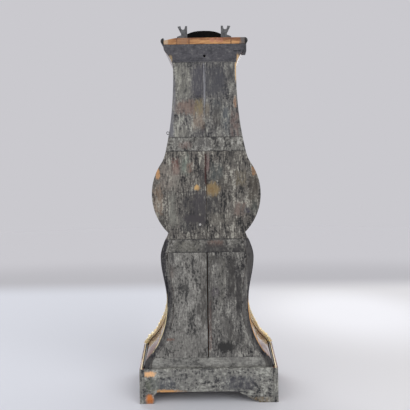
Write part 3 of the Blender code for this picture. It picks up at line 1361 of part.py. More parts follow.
def movement():
    seat_board()
    plates()
    dial()
    barrel()
    train()
    pallets()
    motion_work()
    pendulum()


clear_scene()
plinth()
base()
trunk()
trunk_front()
top()
plinth_moulding()
corner_mounts()
fork_brackets()
trunk_door()
dial_bezel()
movement()
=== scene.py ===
"""The finish of a violin-shaped floor regulator clock, seen from behind as in the photograph."""

import json
import math

import bpy
from mathutils import Matrix, Vector


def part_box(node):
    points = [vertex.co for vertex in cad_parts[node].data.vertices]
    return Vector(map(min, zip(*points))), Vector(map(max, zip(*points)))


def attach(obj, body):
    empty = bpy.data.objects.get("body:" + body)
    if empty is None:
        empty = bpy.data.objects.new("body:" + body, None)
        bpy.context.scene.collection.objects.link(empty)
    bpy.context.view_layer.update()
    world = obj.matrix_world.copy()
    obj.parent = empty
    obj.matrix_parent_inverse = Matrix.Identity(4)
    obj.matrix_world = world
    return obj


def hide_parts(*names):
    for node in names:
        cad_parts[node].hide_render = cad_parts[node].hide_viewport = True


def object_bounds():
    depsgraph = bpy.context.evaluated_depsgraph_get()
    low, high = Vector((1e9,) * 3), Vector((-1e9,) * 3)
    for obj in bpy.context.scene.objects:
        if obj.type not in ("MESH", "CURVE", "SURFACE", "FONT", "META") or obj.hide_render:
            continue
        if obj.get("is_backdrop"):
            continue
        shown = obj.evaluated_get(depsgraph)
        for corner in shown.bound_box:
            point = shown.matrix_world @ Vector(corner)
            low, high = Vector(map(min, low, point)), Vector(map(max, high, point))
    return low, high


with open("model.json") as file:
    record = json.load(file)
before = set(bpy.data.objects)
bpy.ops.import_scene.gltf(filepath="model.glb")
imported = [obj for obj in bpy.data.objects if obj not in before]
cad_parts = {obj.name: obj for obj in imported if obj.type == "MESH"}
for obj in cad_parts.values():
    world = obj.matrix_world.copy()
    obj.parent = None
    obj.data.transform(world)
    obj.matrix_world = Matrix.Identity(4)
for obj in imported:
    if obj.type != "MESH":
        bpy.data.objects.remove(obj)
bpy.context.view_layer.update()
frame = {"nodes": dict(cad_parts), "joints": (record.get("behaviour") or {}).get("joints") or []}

# The view and the light
# The clock is seen from behind, level with its middle and from close by, and the lens leans a
# little. Soft light falls from all sides, and the far wall is plain and pale. The pale floor
# carries painted light and shade: a painted lighter side, a painted pool of window light and a
# band of painted shade where it meets the far wall.
VIEW_DISTANCE = 1.6  # from the clock's back
VIEW_SIDE, VIEW_HEIGHT = 0.006, 0.835
VIEW_LEAN = math.radians(0.8)
VIEW_SPAN = 1.738  # what the picture holds at the clock's back
back_of_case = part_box("head_rail")[1][1]
bpy.ops.object.select_all(action="DESELECT")
bpy.ops.object.camera_add(
    location=(VIEW_SIDE, back_of_case + VIEW_DISTANCE, VIEW_HEIGHT),
    rotation=(math.pi / 2, VIEW_LEAN, math.pi),
)
bpy.context.object.data.lens = bpy.context.object.data.sensor_width * VIEW_DISTANCE / VIEW_SPAN
bpy.context.scene.camera = bpy.context.object
bpy.context.scene.view_settings.view_transform = "Standard"

for name, direction, strength, spread in (
    ("back_key", (-2.3, 2.6, 2.7), 0.95, 40),
    ("back_fill", (2.6, 2.3, 2.0), 0.80, 70),
    ("front_key", (2.0, -2.8, 2.6), 0.85, 40),
    ("front_fill", (-2.4, -2.4, 2.0), 0.65, 70),
):
    bpy.ops.object.light_add(type="SUN", location=direction)
    lamp = bpy.context.object
    lamp.name = name
    lamp.data.energy = strength
    lamp.data.angle = math.radians(spread)
    lamp.rotation_euler = Vector(direction).to_track_quat("Z", "Y").to_euler()


def plug(tree, node, sockets):
    """Joins a node's inputs to other sockets, or sets them to plain values."""
    for key, value in sockets.items():
        if isinstance(value, bpy.types.NodeSocket):
            tree.links.new(value, node.inputs[key])
        else:
            node.inputs[key].default_value = value


def put(tree, kind, sockets=(), **settings):
    """Adds a node, sets it, and joins or sets its inputs."""
    node = tree.nodes.new(kind)
    for key, value in settings.items():
        setattr(node, key, value)
    plug(tree, node, dict(sockets))
    return node


def shade(red, green, blue):
    """A colour as it looks on a screen, from 0 to 255, in the linear values that shaders use."""
    parts = []
    for part in (red, green, blue):
        level = part / 255
        parts.append(level / 12.92 if level < 0.04045 else ((level + 0.055) / 1.055) ** 2.4)
    return (*parts, 1.0)


def blend(tree, factor, first, second, mode="MIX"):
    """Mixes two colours by a factor and gives the mixed colour's socket."""
    sockets = {0: factor, 6: first, 7: second}
    return put(tree, "ShaderNodeMix", sockets, data_type="RGBA", blend_type=mode).outputs[2]


def maths(tree, operation, first, second=0.0):
    return put(tree, "ShaderNodeMath", {0: first, 1: second}, operation=operation).outputs[0]


def vectors(tree, operation, first, second=(0.0, 0.0, 0.0)):
    """A sum with vectors, which gives a number for a length or a distance."""
    node = put(tree, "ShaderNodeVectorMath", {0: first, 1: second}, operation=operation)
    return node.outputs["Value" if operation in ("LENGTH", "DISTANCE") else "Vector"]


def ease(tree, value, start, end, low=0.0, high=1.0):
    """Maps a value smoothly from one span to another."""
    sockets = {"Value": value, "From Min": start, "From Max": end, "To Min": low, "To Max": high}
    return put(tree, "ShaderNodeMapRange", sockets, interpolation_type="SMOOTHSTEP").outputs[0]


def new_finish(name):
    """A material, its node tree, its Principled shader and the socket of Object coordinates."""
    material = bpy.data.materials.new(name)
    material.use_nodes = True
    tree = material.node_tree
    place = put(tree, "ShaderNodeTexCoord").outputs["Object"]
    return material, tree, tree.nodes["Principled BSDF"], place


WALL, FAR_FLOOR = (202, 201, 206), (192, 191, 196)
GLOW = 0.54  # the light from all sides
FLOOR_RADIUS = 13.0
WINDOW_PATCH = (-1.1, -1.15, 0.0)  # where the floor catches a window's light
world = bpy.data.worlds.new("studio")
bpy.context.scene.world = world
world.use_nodes = True
air = world.node_tree
air.nodes.clear()
rays = put(air, "ShaderNodeLightPath").outputs
seen = maths(air, "MAXIMUM", rays["Is Camera Ray"], rays["Is Glossy Ray"])
seen = maths(air, "MAXIMUM", seen, rays["Is Transmission Ray"])
wall = put(air, "ShaderNodeBackground", {"Color": shade(*WALL), "Strength": 1.0})
glow = put(air, "ShaderNodeBackground", {"Color": (1.0, 1.0, 1.0, 1.0), "Strength": GLOW})
mixed = put(air, "ShaderNodeMixShader", {0: seen, 1: glow.outputs[0], 2: wall.outputs[0]})
put(air, "ShaderNodeOutputWorld", {"Surface": mixed.outputs[0]})

bpy.ops.mesh.primitive_circle_add(vertices=96, radius=FLOOR_RADIUS, fill_type="NGON")
floor = bpy.context.object
floor.name = "studio_floor"
studio, tree, surface, spot = new_finish("studio_floor")
away = vectors(tree, "LENGTH", spot)
floor_place = put(tree, "ShaderNodeSeparateXYZ", {0: spot}).outputs
ahead = maths(tree, "MULTIPLY", floor_place["Y"], -1.0)
# The floor is painted lighter towards -X, the side the light falls from: painted light
painted_light_side = ease(tree, floor_place["X"], 0.6, -1.1)
sheet = blend(tree, painted_light_side, shade(207, 209, 217), shade(214, 213, 216))
# A pool of window light painted on the floor
window = vectors(tree, "DISTANCE", spot, WINDOW_PATCH)
sheet = blend(tree, ease(tree, window, 1.0, 0.2), sheet, shade(234, 234, 239))
# A darker band painted where the floor runs into the far wall: painted shade
sheet = blend(tree, ease(tree, ahead, 1.75, 2.5), sheet, shade(179, 178, 183))
sheet = blend(tree, ease(tree, ahead, 2.5, 4.4), sheet, shade(*FAR_FLOOR))
sheet = blend(tree, ease(tree, away, 3.5, 6.0), sheet, shade(*FAR_FLOOR))
plug(tree, surface, {"Base Color": sheet, "Roughness": 0.7, "Specular IOR Level": 0.0})
floor.data.materials.append(studio)
floor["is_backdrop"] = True


# Plinth
# Four softwood boards, the back one painted slate grey like the rest of the back and the other
# three veneered. The back board has lost its paint at one foot and along part of its arch.
def effect(name, inputs, outputs):
    """A shader node group with named sockets: its tree, its inputs and its outputs."""
    tree = bpy.data.node_groups.new(name, "ShaderNodeTree")
    for label, kind in inputs:
        tree.interface.new_socket(label, in_out="INPUT", socket_type="NodeSocket" + kind)
    for label, kind in outputs:
        tree.interface.new_socket(label, in_out="OUTPUT", socket_type="NodeSocket" + kind)
    return tree, tree.nodes.new("NodeGroupInput").outputs, tree.nodes.new("NodeGroupOutput").inputs


def noise(tree, place, scale, detail=4.0, roughness=0.6):
    sockets = {"Vector": place, "Scale": scale, "Detail": detail, "Roughness": roughness}
    return put(tree, "ShaderNodeTexNoise", sockets).outputs["Fac"]


# Old distemper that has flaked in upright streaks: dark ground, grey coat, pale dry remains,
# chalky specks and small pits
CHALK, PIT = (172, 171, 163), (40, 40, 42)
worn_paint, given, made = effect(
    "worn_paint",
    [("Place", "Vector"), ("Stretch", "Vector"), ("Shift", "Vector"), ("Grit", "Float")]
    + [("Dark", "Color"), ("Middle", "Color"), ("Pale", "Color")],
    [("Color", "Color"), ("Worn", "Float")],
)
moved = vectors(worn_paint, "ADD", given["Place"], given["Shift"])
drawn = vectors(worn_paint, "MULTIPLY", moved, given["Stretch"])
cloudy = vectors(worn_paint, "MULTIPLY", moved, (1.0, 1.0, 0.5))
broad = maths(worn_paint, "MULTIPLY", noise(worn_paint, cloudy, 21, 5, 0.65), 0.40)
streak = maths(worn_paint, "MULTIPLY", noise(worn_paint, drawn, 105, 4, 0.6), 0.34)
fleck = maths(worn_paint, "MULTIPLY", noise(worn_paint, moved, 115, 3, 0.6), 0.26)
worn = maths(worn_paint, "ADD", maths(worn_paint, "ADD", broad, streak), fleck)
coat = blend(worn_paint, ease(worn_paint, worn, 0.43, 0.495), given["Dark"], given["Middle"])
coat = blend(worn_paint, ease(worn_paint, worn, 0.515, 0.58), coat, given["Pale"])
flakes = noise(worn_paint, drawn, 175, 5, 0.7)
chalk = maths(worn_paint, "MULTIPLY", ease(worn_paint, flakes, 0.56, 0.66), given["Grit"])
chalk = maths(worn_paint, "MULTIPLY", chalk, ease(worn_paint, worn, 0.44, 0.54))
pits = maths(worn_paint, "MULTIPLY", ease(worn_paint, flakes, 0.44, 0.36), given["Grit"])
coat = blend(worn_paint, chalk, coat, shade(*CHALK))
coat = blend(worn_paint, pits, coat, shade(*PIT))
worn_paint.links.new(coat, made["Color"])
worn_paint.links.new(worn, made["Worn"])

# A soft patch with a ragged edge, round or rather square, for stains, scrapes and bare places
stain, given, made = effect(
    "stain",
    [("Place", "Vector"), ("Middle", "Vector"), ("Size", "Vector")]
    + [("Strength", "Float"), ("Square", "Float")],
    [("Mask", "Float")],
)
offset = vectors(stain, "SUBTRACT", given["Place"], given["Middle"])
scaled = vectors(stain, "DIVIDE", offset, given["Size"])
squared = vectors(stain, "MULTIPLY", scaled, scaled)
boxy = maths(stain, "SQRT", vectors(stain, "LENGTH", squared))
circle = vectors(stain, "LENGTH", scaled)
distance = ease(stain, given["Square"], 0.0, 1.0, circle, boxy)
drift = vectors(stain, "MULTIPLY", given["Place"], (1.0, 1.0, 0.35))
ragged = maths(stain, "SUBTRACT", noise(stain, drift, 130, 6, 0.7), 0.5)
mask = ease(stain, maths(stain, "ADD", distance, maths(stain, "MULTIPLY", ragged, 2.2)), 1.25, 0.55)
solid = maths(stain, "POWER", given["Strength"], 3.0)
patchy = ease(stain, noise(stain, drift, 125, 3), 0.38, 0.56, solid, 1.0)
mask = maths(stain, "MULTIPLY", mask, patchy)
stain.links.new(maths(stain, "MULTIPLY", mask, given["Strength"]), made["Mask"])


def relief(tree, surface, height, depth, strength=0.5):
    """Joins a height to the shader as a bump of the given depth in metres."""
    bump = put(tree, "ShaderNodeBump", {"Height": height, "Strength": strength, "Distance": depth})
    tree.links.new(bump.outputs[0], surface.inputs["Normal"])


STAIN_DEPTH = 100  # so deep that a stain doesn't change from front to back


def stained(tree, place, coat, marks):
    """Lays stains over a colour; each is its place, its half sizes, its colour and its strength.

    A stain as wide as it is high is round, and any other is rather square.
    """
    for (x, z), (wide, high), colour, strength in marks:
        sockets = {"Place": place, "Middle": (x, 0, z), "Size": (wide, STAIN_DEPTH, high)}
        sockets |= {"Strength": strength, "Square": 0.0 if wide == high else 1.0}
        mask = put(tree, "ShaderNodeGroup", sockets, node_tree=stain).outputs["Mask"]
        coat = blend(tree, mask, coat, shade(*colour))
    return coat


def brushed(tree, place, tones, shift, stretch, grit):
    """Worn paint in three tones: its colour and how worn it is."""
    sockets = {"Place": place, "Stretch": stretch, "Shift": shift, "Grit": grit}
    for tone, colour in zip(("Dark", "Middle", "Pale"), tones):
        sockets[tone] = shade(*colour)
    return put(tree, "ShaderNodeGroup", sockets, node_tree=worn_paint).outputs


def painted(name, tones, marks, shift, stretch=(1.4, 1.0, 0.25), grit=0.8):
    """A finish of worn slate paint in three tones, with its own stains."""
    material, tree, surface, place = new_finish(name)
    paint = brushed(tree, place, tones, shift, stretch, grit)
    coat = stained(tree, place, paint["Color"], marks)
    dry = ease(tree, paint["Worn"], 0.35, 0.65, 0.62, 0.88)
    plug(tree, surface, {"Base Color": coat, "Roughness": dry, "Specular IOR Level": 0.3})
    relief(tree, surface, paint["Worn"], 0.0012, 0.5)
    return material


def eased(node, body, finish, round_over=0.0012, smooth=35):
    """A copy of a CAD piece with its arrises rounded over and its curves smooth."""
    bpy.ops.object.select_all(action="DESELECT")
    frame["nodes"][node].select_set(True)
    bpy.context.view_layer.objects.active = frame["nodes"][node]
    bpy.ops.object.duplicate()
    piece = bpy.context.object
    piece.name = "dressed_" + node
    piece.parent = None
    bpy.ops.object.mode_set(mode="EDIT")
    bpy.ops.mesh.select_all(action="SELECT")
    bpy.ops.mesh.remove_doubles(threshold=0.00002)
    bpy.ops.mesh.dissolve_limited(angle_limit=math.radians(0.4))
    bpy.ops.object.mode_set(mode="OBJECT")
    if round_over:
        bevel = piece.modifiers.new("round_over", "BEVEL")
        bevel.width = round_over
        bevel.segments = 2
        bevel.limit_method = "ANGLE"
        bevel.angle_limit = math.radians(smooth)
        bevel.use_clamp_overlap = True
        bpy.ops.object.modifier_apply(modifier=bevel.name)
    bpy.ops.object.shade_smooth_by_angle(angle=math.radians(smooth))
    piece.data.materials.clear()
    piece.data.materials.append(finish)
    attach(piece, body)
    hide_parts(node)
    return piece


BARE, ORANGE = (214, 160, 104), (206, 122, 56)
PLINTH_TONES = ((56, 56, 58), (123, 122, 118), (166, 166, 159))
plinth_paint = painted(
    "plinth_back_paint",
    PLINTH_TONES,
    [
        ((0.239, 0.079), (0.032, 0.030), (112, 116, 102), 0.6),
        ((0.060, 0.118), (0.120, 0.026), (142, 141, 136), 0.5),
        ((-0.130, 0.082), (0.070, 0.030), (74, 74, 80), 0.8),
        ((0.190, 0.085), (0.050, 0.026), (92, 94, 98), 0.6),
        ((-0.207, 0.012), (0.050, 0.012), (134, 118, 92), 0.6),
        ((0.250, 0.126), (0.023, 0.011), (236, 184, 134), 0.95),
        ((0.250, 0.018), (0.017, 0.020), ORANGE, 0.95),
        ((0.250, 0.010), (0.010, 0.007), (150, 84, 44), 0.7),
        ((0.174, 0.051), (0.046, 0.009), BARE, 0.95),
        ((0.120, 0.052), (0.030, 0.004), (150, 112, 80), 0.6),
        ((0.170, 0.070), (0.040, 0.014), (82, 84, 88), 0.6),
    ],
    (3.1, 0.0, 0.4),
    (0.5, 1.0, 0.8),
)
eased("plinth_back", "case", plinth_paint)

# Dark figured veneer under a glossy polish, with the grain drawn out along one direction
veneer_grain, given, made = effect(
    "veneer_grain",
    [("Place", "Vector"), ("Stretch", "Vector"), ("Deep", "Color"), ("Warm", "Color")],
    [("Color", "Color"), ("Grain", "Float")],
)
drawn = vectors(veneer_grain, "MULTIPLY", given["Place"], given["Stretch"])
wave = maths(veneer_grain, "MULTIPLY", noise(veneer_grain, drawn, 30, 6, 0.6), 0.75)
pores = maths(veneer_grain, "MULTIPLY", noise(veneer_grain, drawn, 320, 2, 0.5), 0.25)
grain = maths(veneer_grain, "ADD", wave, pores)
figure = blend(veneer_grain, ease(veneer_grain, grain, 0.38, 0.62), given["Deep"], given["Warm"])
veneer_grain.links.new(figure, made["Color"])
veneer_grain.links.new(grain, made["Grain"])

VENEER_TONES = ((62, 34, 26), (124, 74, 50))
UPRIGHT, LEVEL, ACROSS = (1.0, 1.0, 0.12), (0.12, 0.12, 1.0), (0.12, 1.0, 1.0)
MATCH_ANGLE = math.radians(24)


def grained(tree, place, stretch, tones):
    """Figured wood in two tones: its colour and its grain."""
    sockets = {"Place": place, "Stretch": stretch}
    sockets["Deep"], sockets["Warm"] = (shade(*tone) for tone in tones)
    return put(tree, "ShaderNodeGroup", sockets, node_tree=veneer_grain).outputs


def veneered(
    name, stretch, back=None, tones=(), marks=(), grit=0.15, inner=(), matched=False, wood=None
):
    """A polished veneer, matched about the middle if asked, and painted behind the given depth.

    Where inner tones are given, the paint goes over to them with the mesh's attribute inward.
    """
    material, tree, surface, place = new_finish(name)
    laid = place
    if matched:
        folded = vectors(tree, "ABSOLUTE", place)
        turn = {"Vector": folded, "Rotation": (0.0, MATCH_ANGLE, 0.0)}
        laid = put(tree, "ShaderNodeMapping", turn).outputs[0]
    veneer = grained(tree, laid, stretch, wood or VENEER_TONES)
    colour, roughness = veneer["Color"], ease(tree, veneer["Grain"], 0.3, 0.7, 0.24, 0.36)
    # The polish is the coat, so the wood under it has hardly any shine of its own
    plug(tree, surface, {"Coat Weight": 1.0, "Coat Roughness": 0.14, "Specular IOR Level": 0.05})
    if back:
        depth = put(tree, "ShaderNodeSeparateXYZ", {0: place}).outputs["Y"]
        behind = maths(tree, "GREATER_THAN", depth, back)
        paint = brushed(tree, place, tones, (0, 0, 0), UPRIGHT, grit)
        coat = paint["Color"]
        if inner:
            lighter = brushed(tree, place, inner, (0, 0, 0), (1.0, 1.0, 0.35), 0.5)
            inward = put(tree, "ShaderNodeAttribute", attribute_name="inward").outputs["Fac"]
            uneven = maths(tree, "MULTIPLY", maths(tree, "SUBTRACT", lighter["Worn"], 0.5), 2.5)
            share = ease(tree, maths(tree, "ADD", inward, uneven), 0.4, 0.9)
            coat = blend(tree, share, coat, lighter["Color"])
        colour = blend(tree, behind, colour, stained(tree, place, coat, marks))
        roughness = maths(tree, "MAXIMUM", roughness, maths(tree, "MULTIPLY", behind, 0.75))
        tree.links.new(maths(tree, "SUBTRACT", 1.0, behind), surface.inputs["Coat Weight"])
    plug(tree, surface, {"Base Color": colour, "Roughness": roughness})
    relief(tree, surface, veneer["Grain"], 0.0002, 0.35)
    return material


upright_veneer = veneered("upright_veneer", UPRIGHT)
level_veneer = veneered("level_veneer", LEVEL)
eased("plinth_front", "case", level_veneer)
plinth_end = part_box("plinth_back")[1][1] - 0.001
painted_end_veneer = veneered("painted_end_veneer", LEVEL, plinth_end, PLINTH_TONES)
for node in ("plinth_side_left", "plinth_side_right"):
    eased(node, "case", painted_end_veneer)

# Metals: an uneven tarnish that darkens and dulls the polish
tarnish, given, made = effect(
    "tarnish",
    [("Place", "Vector"), ("Scale", "Float"), ("Bright", "Color"), ("Dull", "Color")],
    [("Color", "Color"), ("Dullness", "Float")],
)
cloud = noise(tarnish, given["Place"], given["Scale"], 5, 0.62)
dull = ease(tarnish, cloud, 0.42, 0.66)
tarnish.links.new(blend(tarnish, dull, given["Bright"], given["Dull"]), made["Color"])
tarnish.links.new(dull, made["Dullness"])


def metal(name, bright, dull_colour, scale, smooth, rough, metallic=1.0, depth=0.0002):
    """A finish of metal, or of enamel or paint where it isn't metallic, that tarnish has dulled."""
    material, tree, surface, place = new_finish(name)
    sockets = {"Place": place, "Scale": scale}
    sockets |= {"Bright": shade(*bright), "Dull": shade(*dull_colour)}
    patina = put(tree, "ShaderNodeGroup", sockets, node_tree=tarnish).outputs
    dulled = ease(tree, patina["Dullness"], 0.0, 1.0, smooth, rough)
    plug(tree, surface, {"Base Color": patina["Color"], "Roughness": dulled, "Metallic": metallic})
    relief(tree, surface, patina["Dullness"], depth, 0.3)
    return material


gilt = metal("gilt_bronze", (255, 241, 202), (246, 220, 164), 45.0, 0.26, 0.44, 0.85)
brass = metal("brass", (206, 172, 98), (150, 120, 66), 60.0, 0.22, 0.42)


def bead(name, points, radius, finish):
    """A round bead bent along a line of points and pinned to the case."""
    bpy.ops.object.select_all(action="DESELECT")
    bpy.ops.curve.primitive_nurbs_path_add()
    line = bpy.context.object
    line.name = name
    line.data.splines.clear()
    run = line.data.splines.new("POLY")
    run.points.add(len(points) - 1)
    for knot, place in zip(run.points, points):
        knot.co = (*place, 1.0)
    line.data.bevel_depth = radius
    line.data.bevel_resolution = 3
    line.data.use_fill_caps = True
    bpy.ops.object.convert(target="MESH")
    bpy.ops.object.shade_smooth_by_angle(angle=math.radians(50))
    piece = bpy.context.object
    piece.data.materials.append(finish)
    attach(piece, "case")
    return piece


# The gilt bead that lies on the plinth's ledge, outside the black moulding
BEAD_RADIUS = 0.0032
BEAD_INSET = 0.0095
side_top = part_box("plinth_side_right")[1][2]
side_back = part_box("plinth_side_right")[1][1]
side_corners = [v.co for v in frame["nodes"]["plinth_side_right"].data.vertices]
side_edge = [place for place in side_corners if place.z > side_top - 0.001]
back_x = max(place.x for place in side_edge if place.y > side_back - 0.001) - BEAD_INSET
front_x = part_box("plinth_front")[1][0] - BEAD_INSET
front_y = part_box("plinth_front")[0][1] + BEAD_INSET
bead_z = side_top + BEAD_RADIUS
bead_line = [(back_x, side_back - 0.001, bead_z), (front_x, front_y, bead_z)]
bead_line += [(-x, y, z) for x, y, z in bead_line[::-1]]
bead("plinth_bead", bead_line, BEAD_RADIUS, gilt)


# Base
# Thick curved sides whose back edges are painted dark, a swelling veneered front, and two rails
# and two boards let in between the sides, which have shrunk apart along the middle.
EDGE_TONES = ((38, 37, 40), (56, 55, 58), (82, 80, 81))
INNER_TONES = ((62, 61, 60), (106, 104, 101), (140, 138, 133))
DARK_EDGE = 0.025  # how far in from the outline the edge stays dark
# The first mark lightens the dark edge on the -X side, where the key light falls: painted light.
# The others are lighter patches in the paint.
edge_light_and_marks = [((-0.180, 0.600), (0.030, 0.090), (88, 86, 85), 0.85)]
for side in (-1, 1):
    edge_light_and_marks.append(((side * 0.200, 0.300), (0.075, 0.080), (90, 88, 86), 0.6))
    edge_light_and_marks.append(((side * 0.158, 0.440), (0.010, 0.090), (86, 84, 84), 0.55))
    edge_light_and_marks.append(((side * 0.255, 0.165), (0.030, 0.030), (84, 82, 80), 0.75))
edged_veneer = veneered(
    "edged_veneer", UPRIGHT, back_of_case - 0.0008, EDGE_TONES, edge_light_and_marks, 0.4, INNER_TONES
)
# A bead covers the joint of edge and veneer, rubbed bare where the sides flare
EDGE_BEAD = 0.0024
bead_paint = painted(
    "base_bead_paint",
    EDGE_TONES,
    [
        ((0.200, 0.325), (0.150, 0.115), (214, 198, 156), 0.95),
        ((-0.200, 0.325), (0.150, 0.112), (208, 158, 104), 0.95),
    ],
    (0.9, 0.0, 2.7),
    grit=0.3,
)
for side, node in ((-1, "base_side_left"), (1, "base_side_right")):
    outline = {}
    for v in frame["nodes"][node].data.vertices:
        if v.co.y > back_of_case - 0.0005:
            height = round(v.co.z, 4)
            outline[height] = max(outline.get(height, 0.0), side * v.co.x)
    piece = eased(node, "case", edged_veneer, 0.0015, 25)
    inward = piece.data.attributes.new("inward", "FLOAT", "POINT")
    for v in piece.data.vertices:
        height = min(outline, key=lambda level: abs(level - v.co.z))
        inward.data[v.index].value = min(1.0, (outline[height] - side * v.co.x) / DARK_EDGE)
    edge = [(side * outline[z], back_of_case - EDGE_BEAD, z) for z in sorted(outline)]
    bead(node + "_bead", edge, EDGE_BEAD, bead_paint)
crossband = veneered("crossband_veneer", ACROSS, wood=((84, 44, 28), (150, 92, 58)))
matched_veneer = veneered("matched_veneer", UPRIGHT, matched=True)
eased("base_front", "case", matched_veneer, 0.001, 25)


def outer_edge(node):
    """The outermost edge of a piece's front face, as places in order."""
    mesh = frame["nodes"][node].data
    runs = {}
    for face in mesh.polygons:
        if face.normal.y < -0.7:
            corners = [tuple(round(part, 5) for part in mesh.vertices[i].co) for i in face.vertices]
            for start, end in zip(corners, corners[1:] + corners[:1]):
                runs[start, end] = True
    follows = {start: end for start, end in runs if (end, start) not in runs}
    loops = []
    while follows:
        loop = [next(iter(follows))]
        while loop[-1] in follows:
            loop.append(follows.pop(loop[-1]))
        loops.append(loop[:-1])
    return max(loops, key=lambda loop: max(z for x, y, z in loop) - min(z for x, y, z in loop))


# Bands let into a front face round its outer edge: a wide crossband and a thin brass line
BANDS = ((0.0100, crossband), (0.0014, brass))
BAND_MARGIN = 0.0015
BAND_LIFT = 0.0001


def inset(edge, width):
    """A closed edge, which runs round to the left, moved inwards by a width."""
    moved = []
    for before, here, after in zip(edge[-1:] + edge[:-1], edge, edge[1:] + edge[:1]):
        sides = []
        for start, end in ((before, here), (here, after)):
            run = Vector((end[0] - start[0], end[2] - start[2])).normalized()
            sides.append(Vector((-run.y, run.x)))
        both = sides[0] + sides[1]
        across = both * width / max(0.4, 1.0 + sides[0].dot(sides[1]))
        moved.append((here[0] + across.x, here[2] + across.y))
    return moved


def inlaid(node, body):
    """Cuts the bands for a front face that swells only up and down, and lays them on it."""
    edge = outer_edge(node)
    depths = sorted((z, y) for x, y, z in edge)
    places, faces, slots = [], [], []
    reach = BAND_MARGIN
    for width in [0.0] + [width for width, finish in BANDS]:
        reach += width
        for x, z in inset(edge, reach):
            below = max((row for row in depths if row[0] <= z), default=depths[0])
            above = min((row for row in depths if row[0] >= z), default=depths[-1])
            rise = max(above[0] - below[0], 1e-6)
            y = below[1] + (above[1] - below[1]) * (z - below[0]) / rise
            places.append((x, y - BAND_LIFT, z))
    count = len(edge)
    for slot in range(len(BANDS)):
        for i in range(count):
            j = (i + 1) % count
            low, high = slot * count, (slot + 1) * count
            faces.append((low + i, low + j, high + j, high + i))
            slots.append(slot)
    mesh = bpy.data.meshes.new(node + "_bands")
    mesh.from_pydata(places, [], faces)
    piece = bpy.data.objects.new(node + "_bands", mesh)
    bpy.context.collection.objects.link(piece)
    for width, finish in BANDS:
        mesh.materials.append(finish)
    mesh.polygons.foreach_set("material_index", slots)
    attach(piece, body)


inlaid("base_front", "case")
BASE_TONES = ((60, 59, 58), (117, 115, 111), (152, 150, 145))
base_right_paint = painted(
    "base_board_right_paint",
    BASE_TONES,
    [
        ((0.092, 0.490), (0.016, 0.018), (76, 75, 73), 0.7),
        ((0.154, 0.553), (0.015, 0.038), (96, 84, 78), 0.6),
        ((0.038, 0.395), (0.008, 0.031), (70, 68, 66), 0.8),
        ((0.105, 0.270), (0.004, 0.045), (72, 70, 68), 0.7),
        ((0.164, 0.267), (0.021, 0.006), (112, 78, 66), 0.7),
        ((0.012, 0.500), (0.020, 0.160), (72, 69, 66), 0.7),
        ((0.014, 0.352), (0.018, 0.070), (80, 78, 75), 0.65),
        ((0.152, 0.600), (0.013, 0.045), (60, 58, 58), 0.8),
        ((0.080, 0.240), (0.070, 0.050), (118, 116, 112), 0.5),
    ],
    (1.3, 0.0, 2.2),
    (1.4, 1.0, 0.4),
    0.65,
)
base_left_paint = painted(
    "base_board_left_paint",
    ((42, 41, 42), (104, 102, 99), (152, 150, 144)),
    [
        ((-0.040, 0.600), (0.036, 0.020), (66, 64, 62), 0.8),
        ((-0.010, 0.500), (0.014, 0.160), (70, 67, 64), 0.7),
        ((-0.062, 0.540), (0.018, 0.070), (112, 110, 104), 0.6),
        ((-0.101, 0.524), (0.020, 0.095), (56, 54, 53), 0.9),
        ((-0.132, 0.460), (0.014, 0.110), (54, 52, 52), 0.9),
        ((-0.060, 0.440), (0.016, 0.040), (112, 110, 104), 0.5),
        ((-0.090, 0.300), (0.020, 0.060), (70, 68, 66), 0.7),
        ((-0.033, 0.465), (0.016, 0.020), (84, 77, 84), 0.6),
        ((-0.009, 0.313), (0.006, 0.093), (110, 88, 82), 0.7),
        ((-0.010, 0.345), (0.012, 0.050), (78, 74, 72), 0.6),
        ((-0.129, 0.256), (0.042, 0.038), (74, 72, 70), 0.6),
        ((-0.074, 0.234), (0.038, 0.024), (50, 49, 48), 1.0),
        ((-0.060, 0.330), (0.030, 0.050), (108, 106, 102), 0.5),
    ],
    (4.7, 0.0, 1.1),
    (1.4, 1.0, 0.35),
    0.65,
)


def joint_lines(node):
    """A dark line along a rail's lower and upper joint, laid on as stains."""
    return [((0.0, end[2]), (0.400, 0.0045), (52, 51, 52), 0.7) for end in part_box(node)]


bottom_rail_paint = painted(
    "bottom_rail_paint",
    ((84, 83, 81), (121, 120, 116), (146, 145, 140)),
    [((-0.120, 0.180), (0.060, 0.012), (98, 96, 94), 0.6)],
    (0.6, 0.0, 5.0),
    (0.35, 1.0, 1.0),
    0.4,
)
waist_rail_paint = painted(
    "waist_rail_paint",
    ((52, 51, 51), (99, 97, 93), (136, 134, 129)),
    [
        ((-0.038, 0.671), (0.030, 0.015), (106, 84, 76), 0.7),
        ((-0.034, 0.645), (0.058, 0.024), (58, 56, 56), 0.9),
        ((0.080, 0.660), (0.060, 0.024), (106, 104, 96), 0.5),
        ((-0.130, 0.640), (0.016, 0.030), (60, 58, 58), 0.8),
        *joint_lines("waist_rail"),
    ],
    (2.6, 0.0, 1.4),
    (0.8, 1.0, 0.8),
    0.5,
)
middle_rail_paint = painted(
    "middle_rail_paint",
    ((60, 59, 58), (119, 117, 112), (164, 163, 157)),
    [
        ((0.085, 1.090), (0.026, 0.016), (122, 102, 96), 0.6),
        ((0.012, 1.096), (0.030, 0.026), (80, 78, 78), 0.7),
        *joint_lines("middle_rail"),
    ],
    (3.3, 0.0, 0.8),
    (1.0, 1.0, 0.6),
)
eased("base_board_right", "case", base_right_paint)
eased("base_board_left", "case", base_left_paint)
eased("base_bottom_rail", "case", bottom_rail_paint)
eased("waist_rail", "case", waist_rail_paint)
eased("middle_rail", "case", middle_rail_paint)


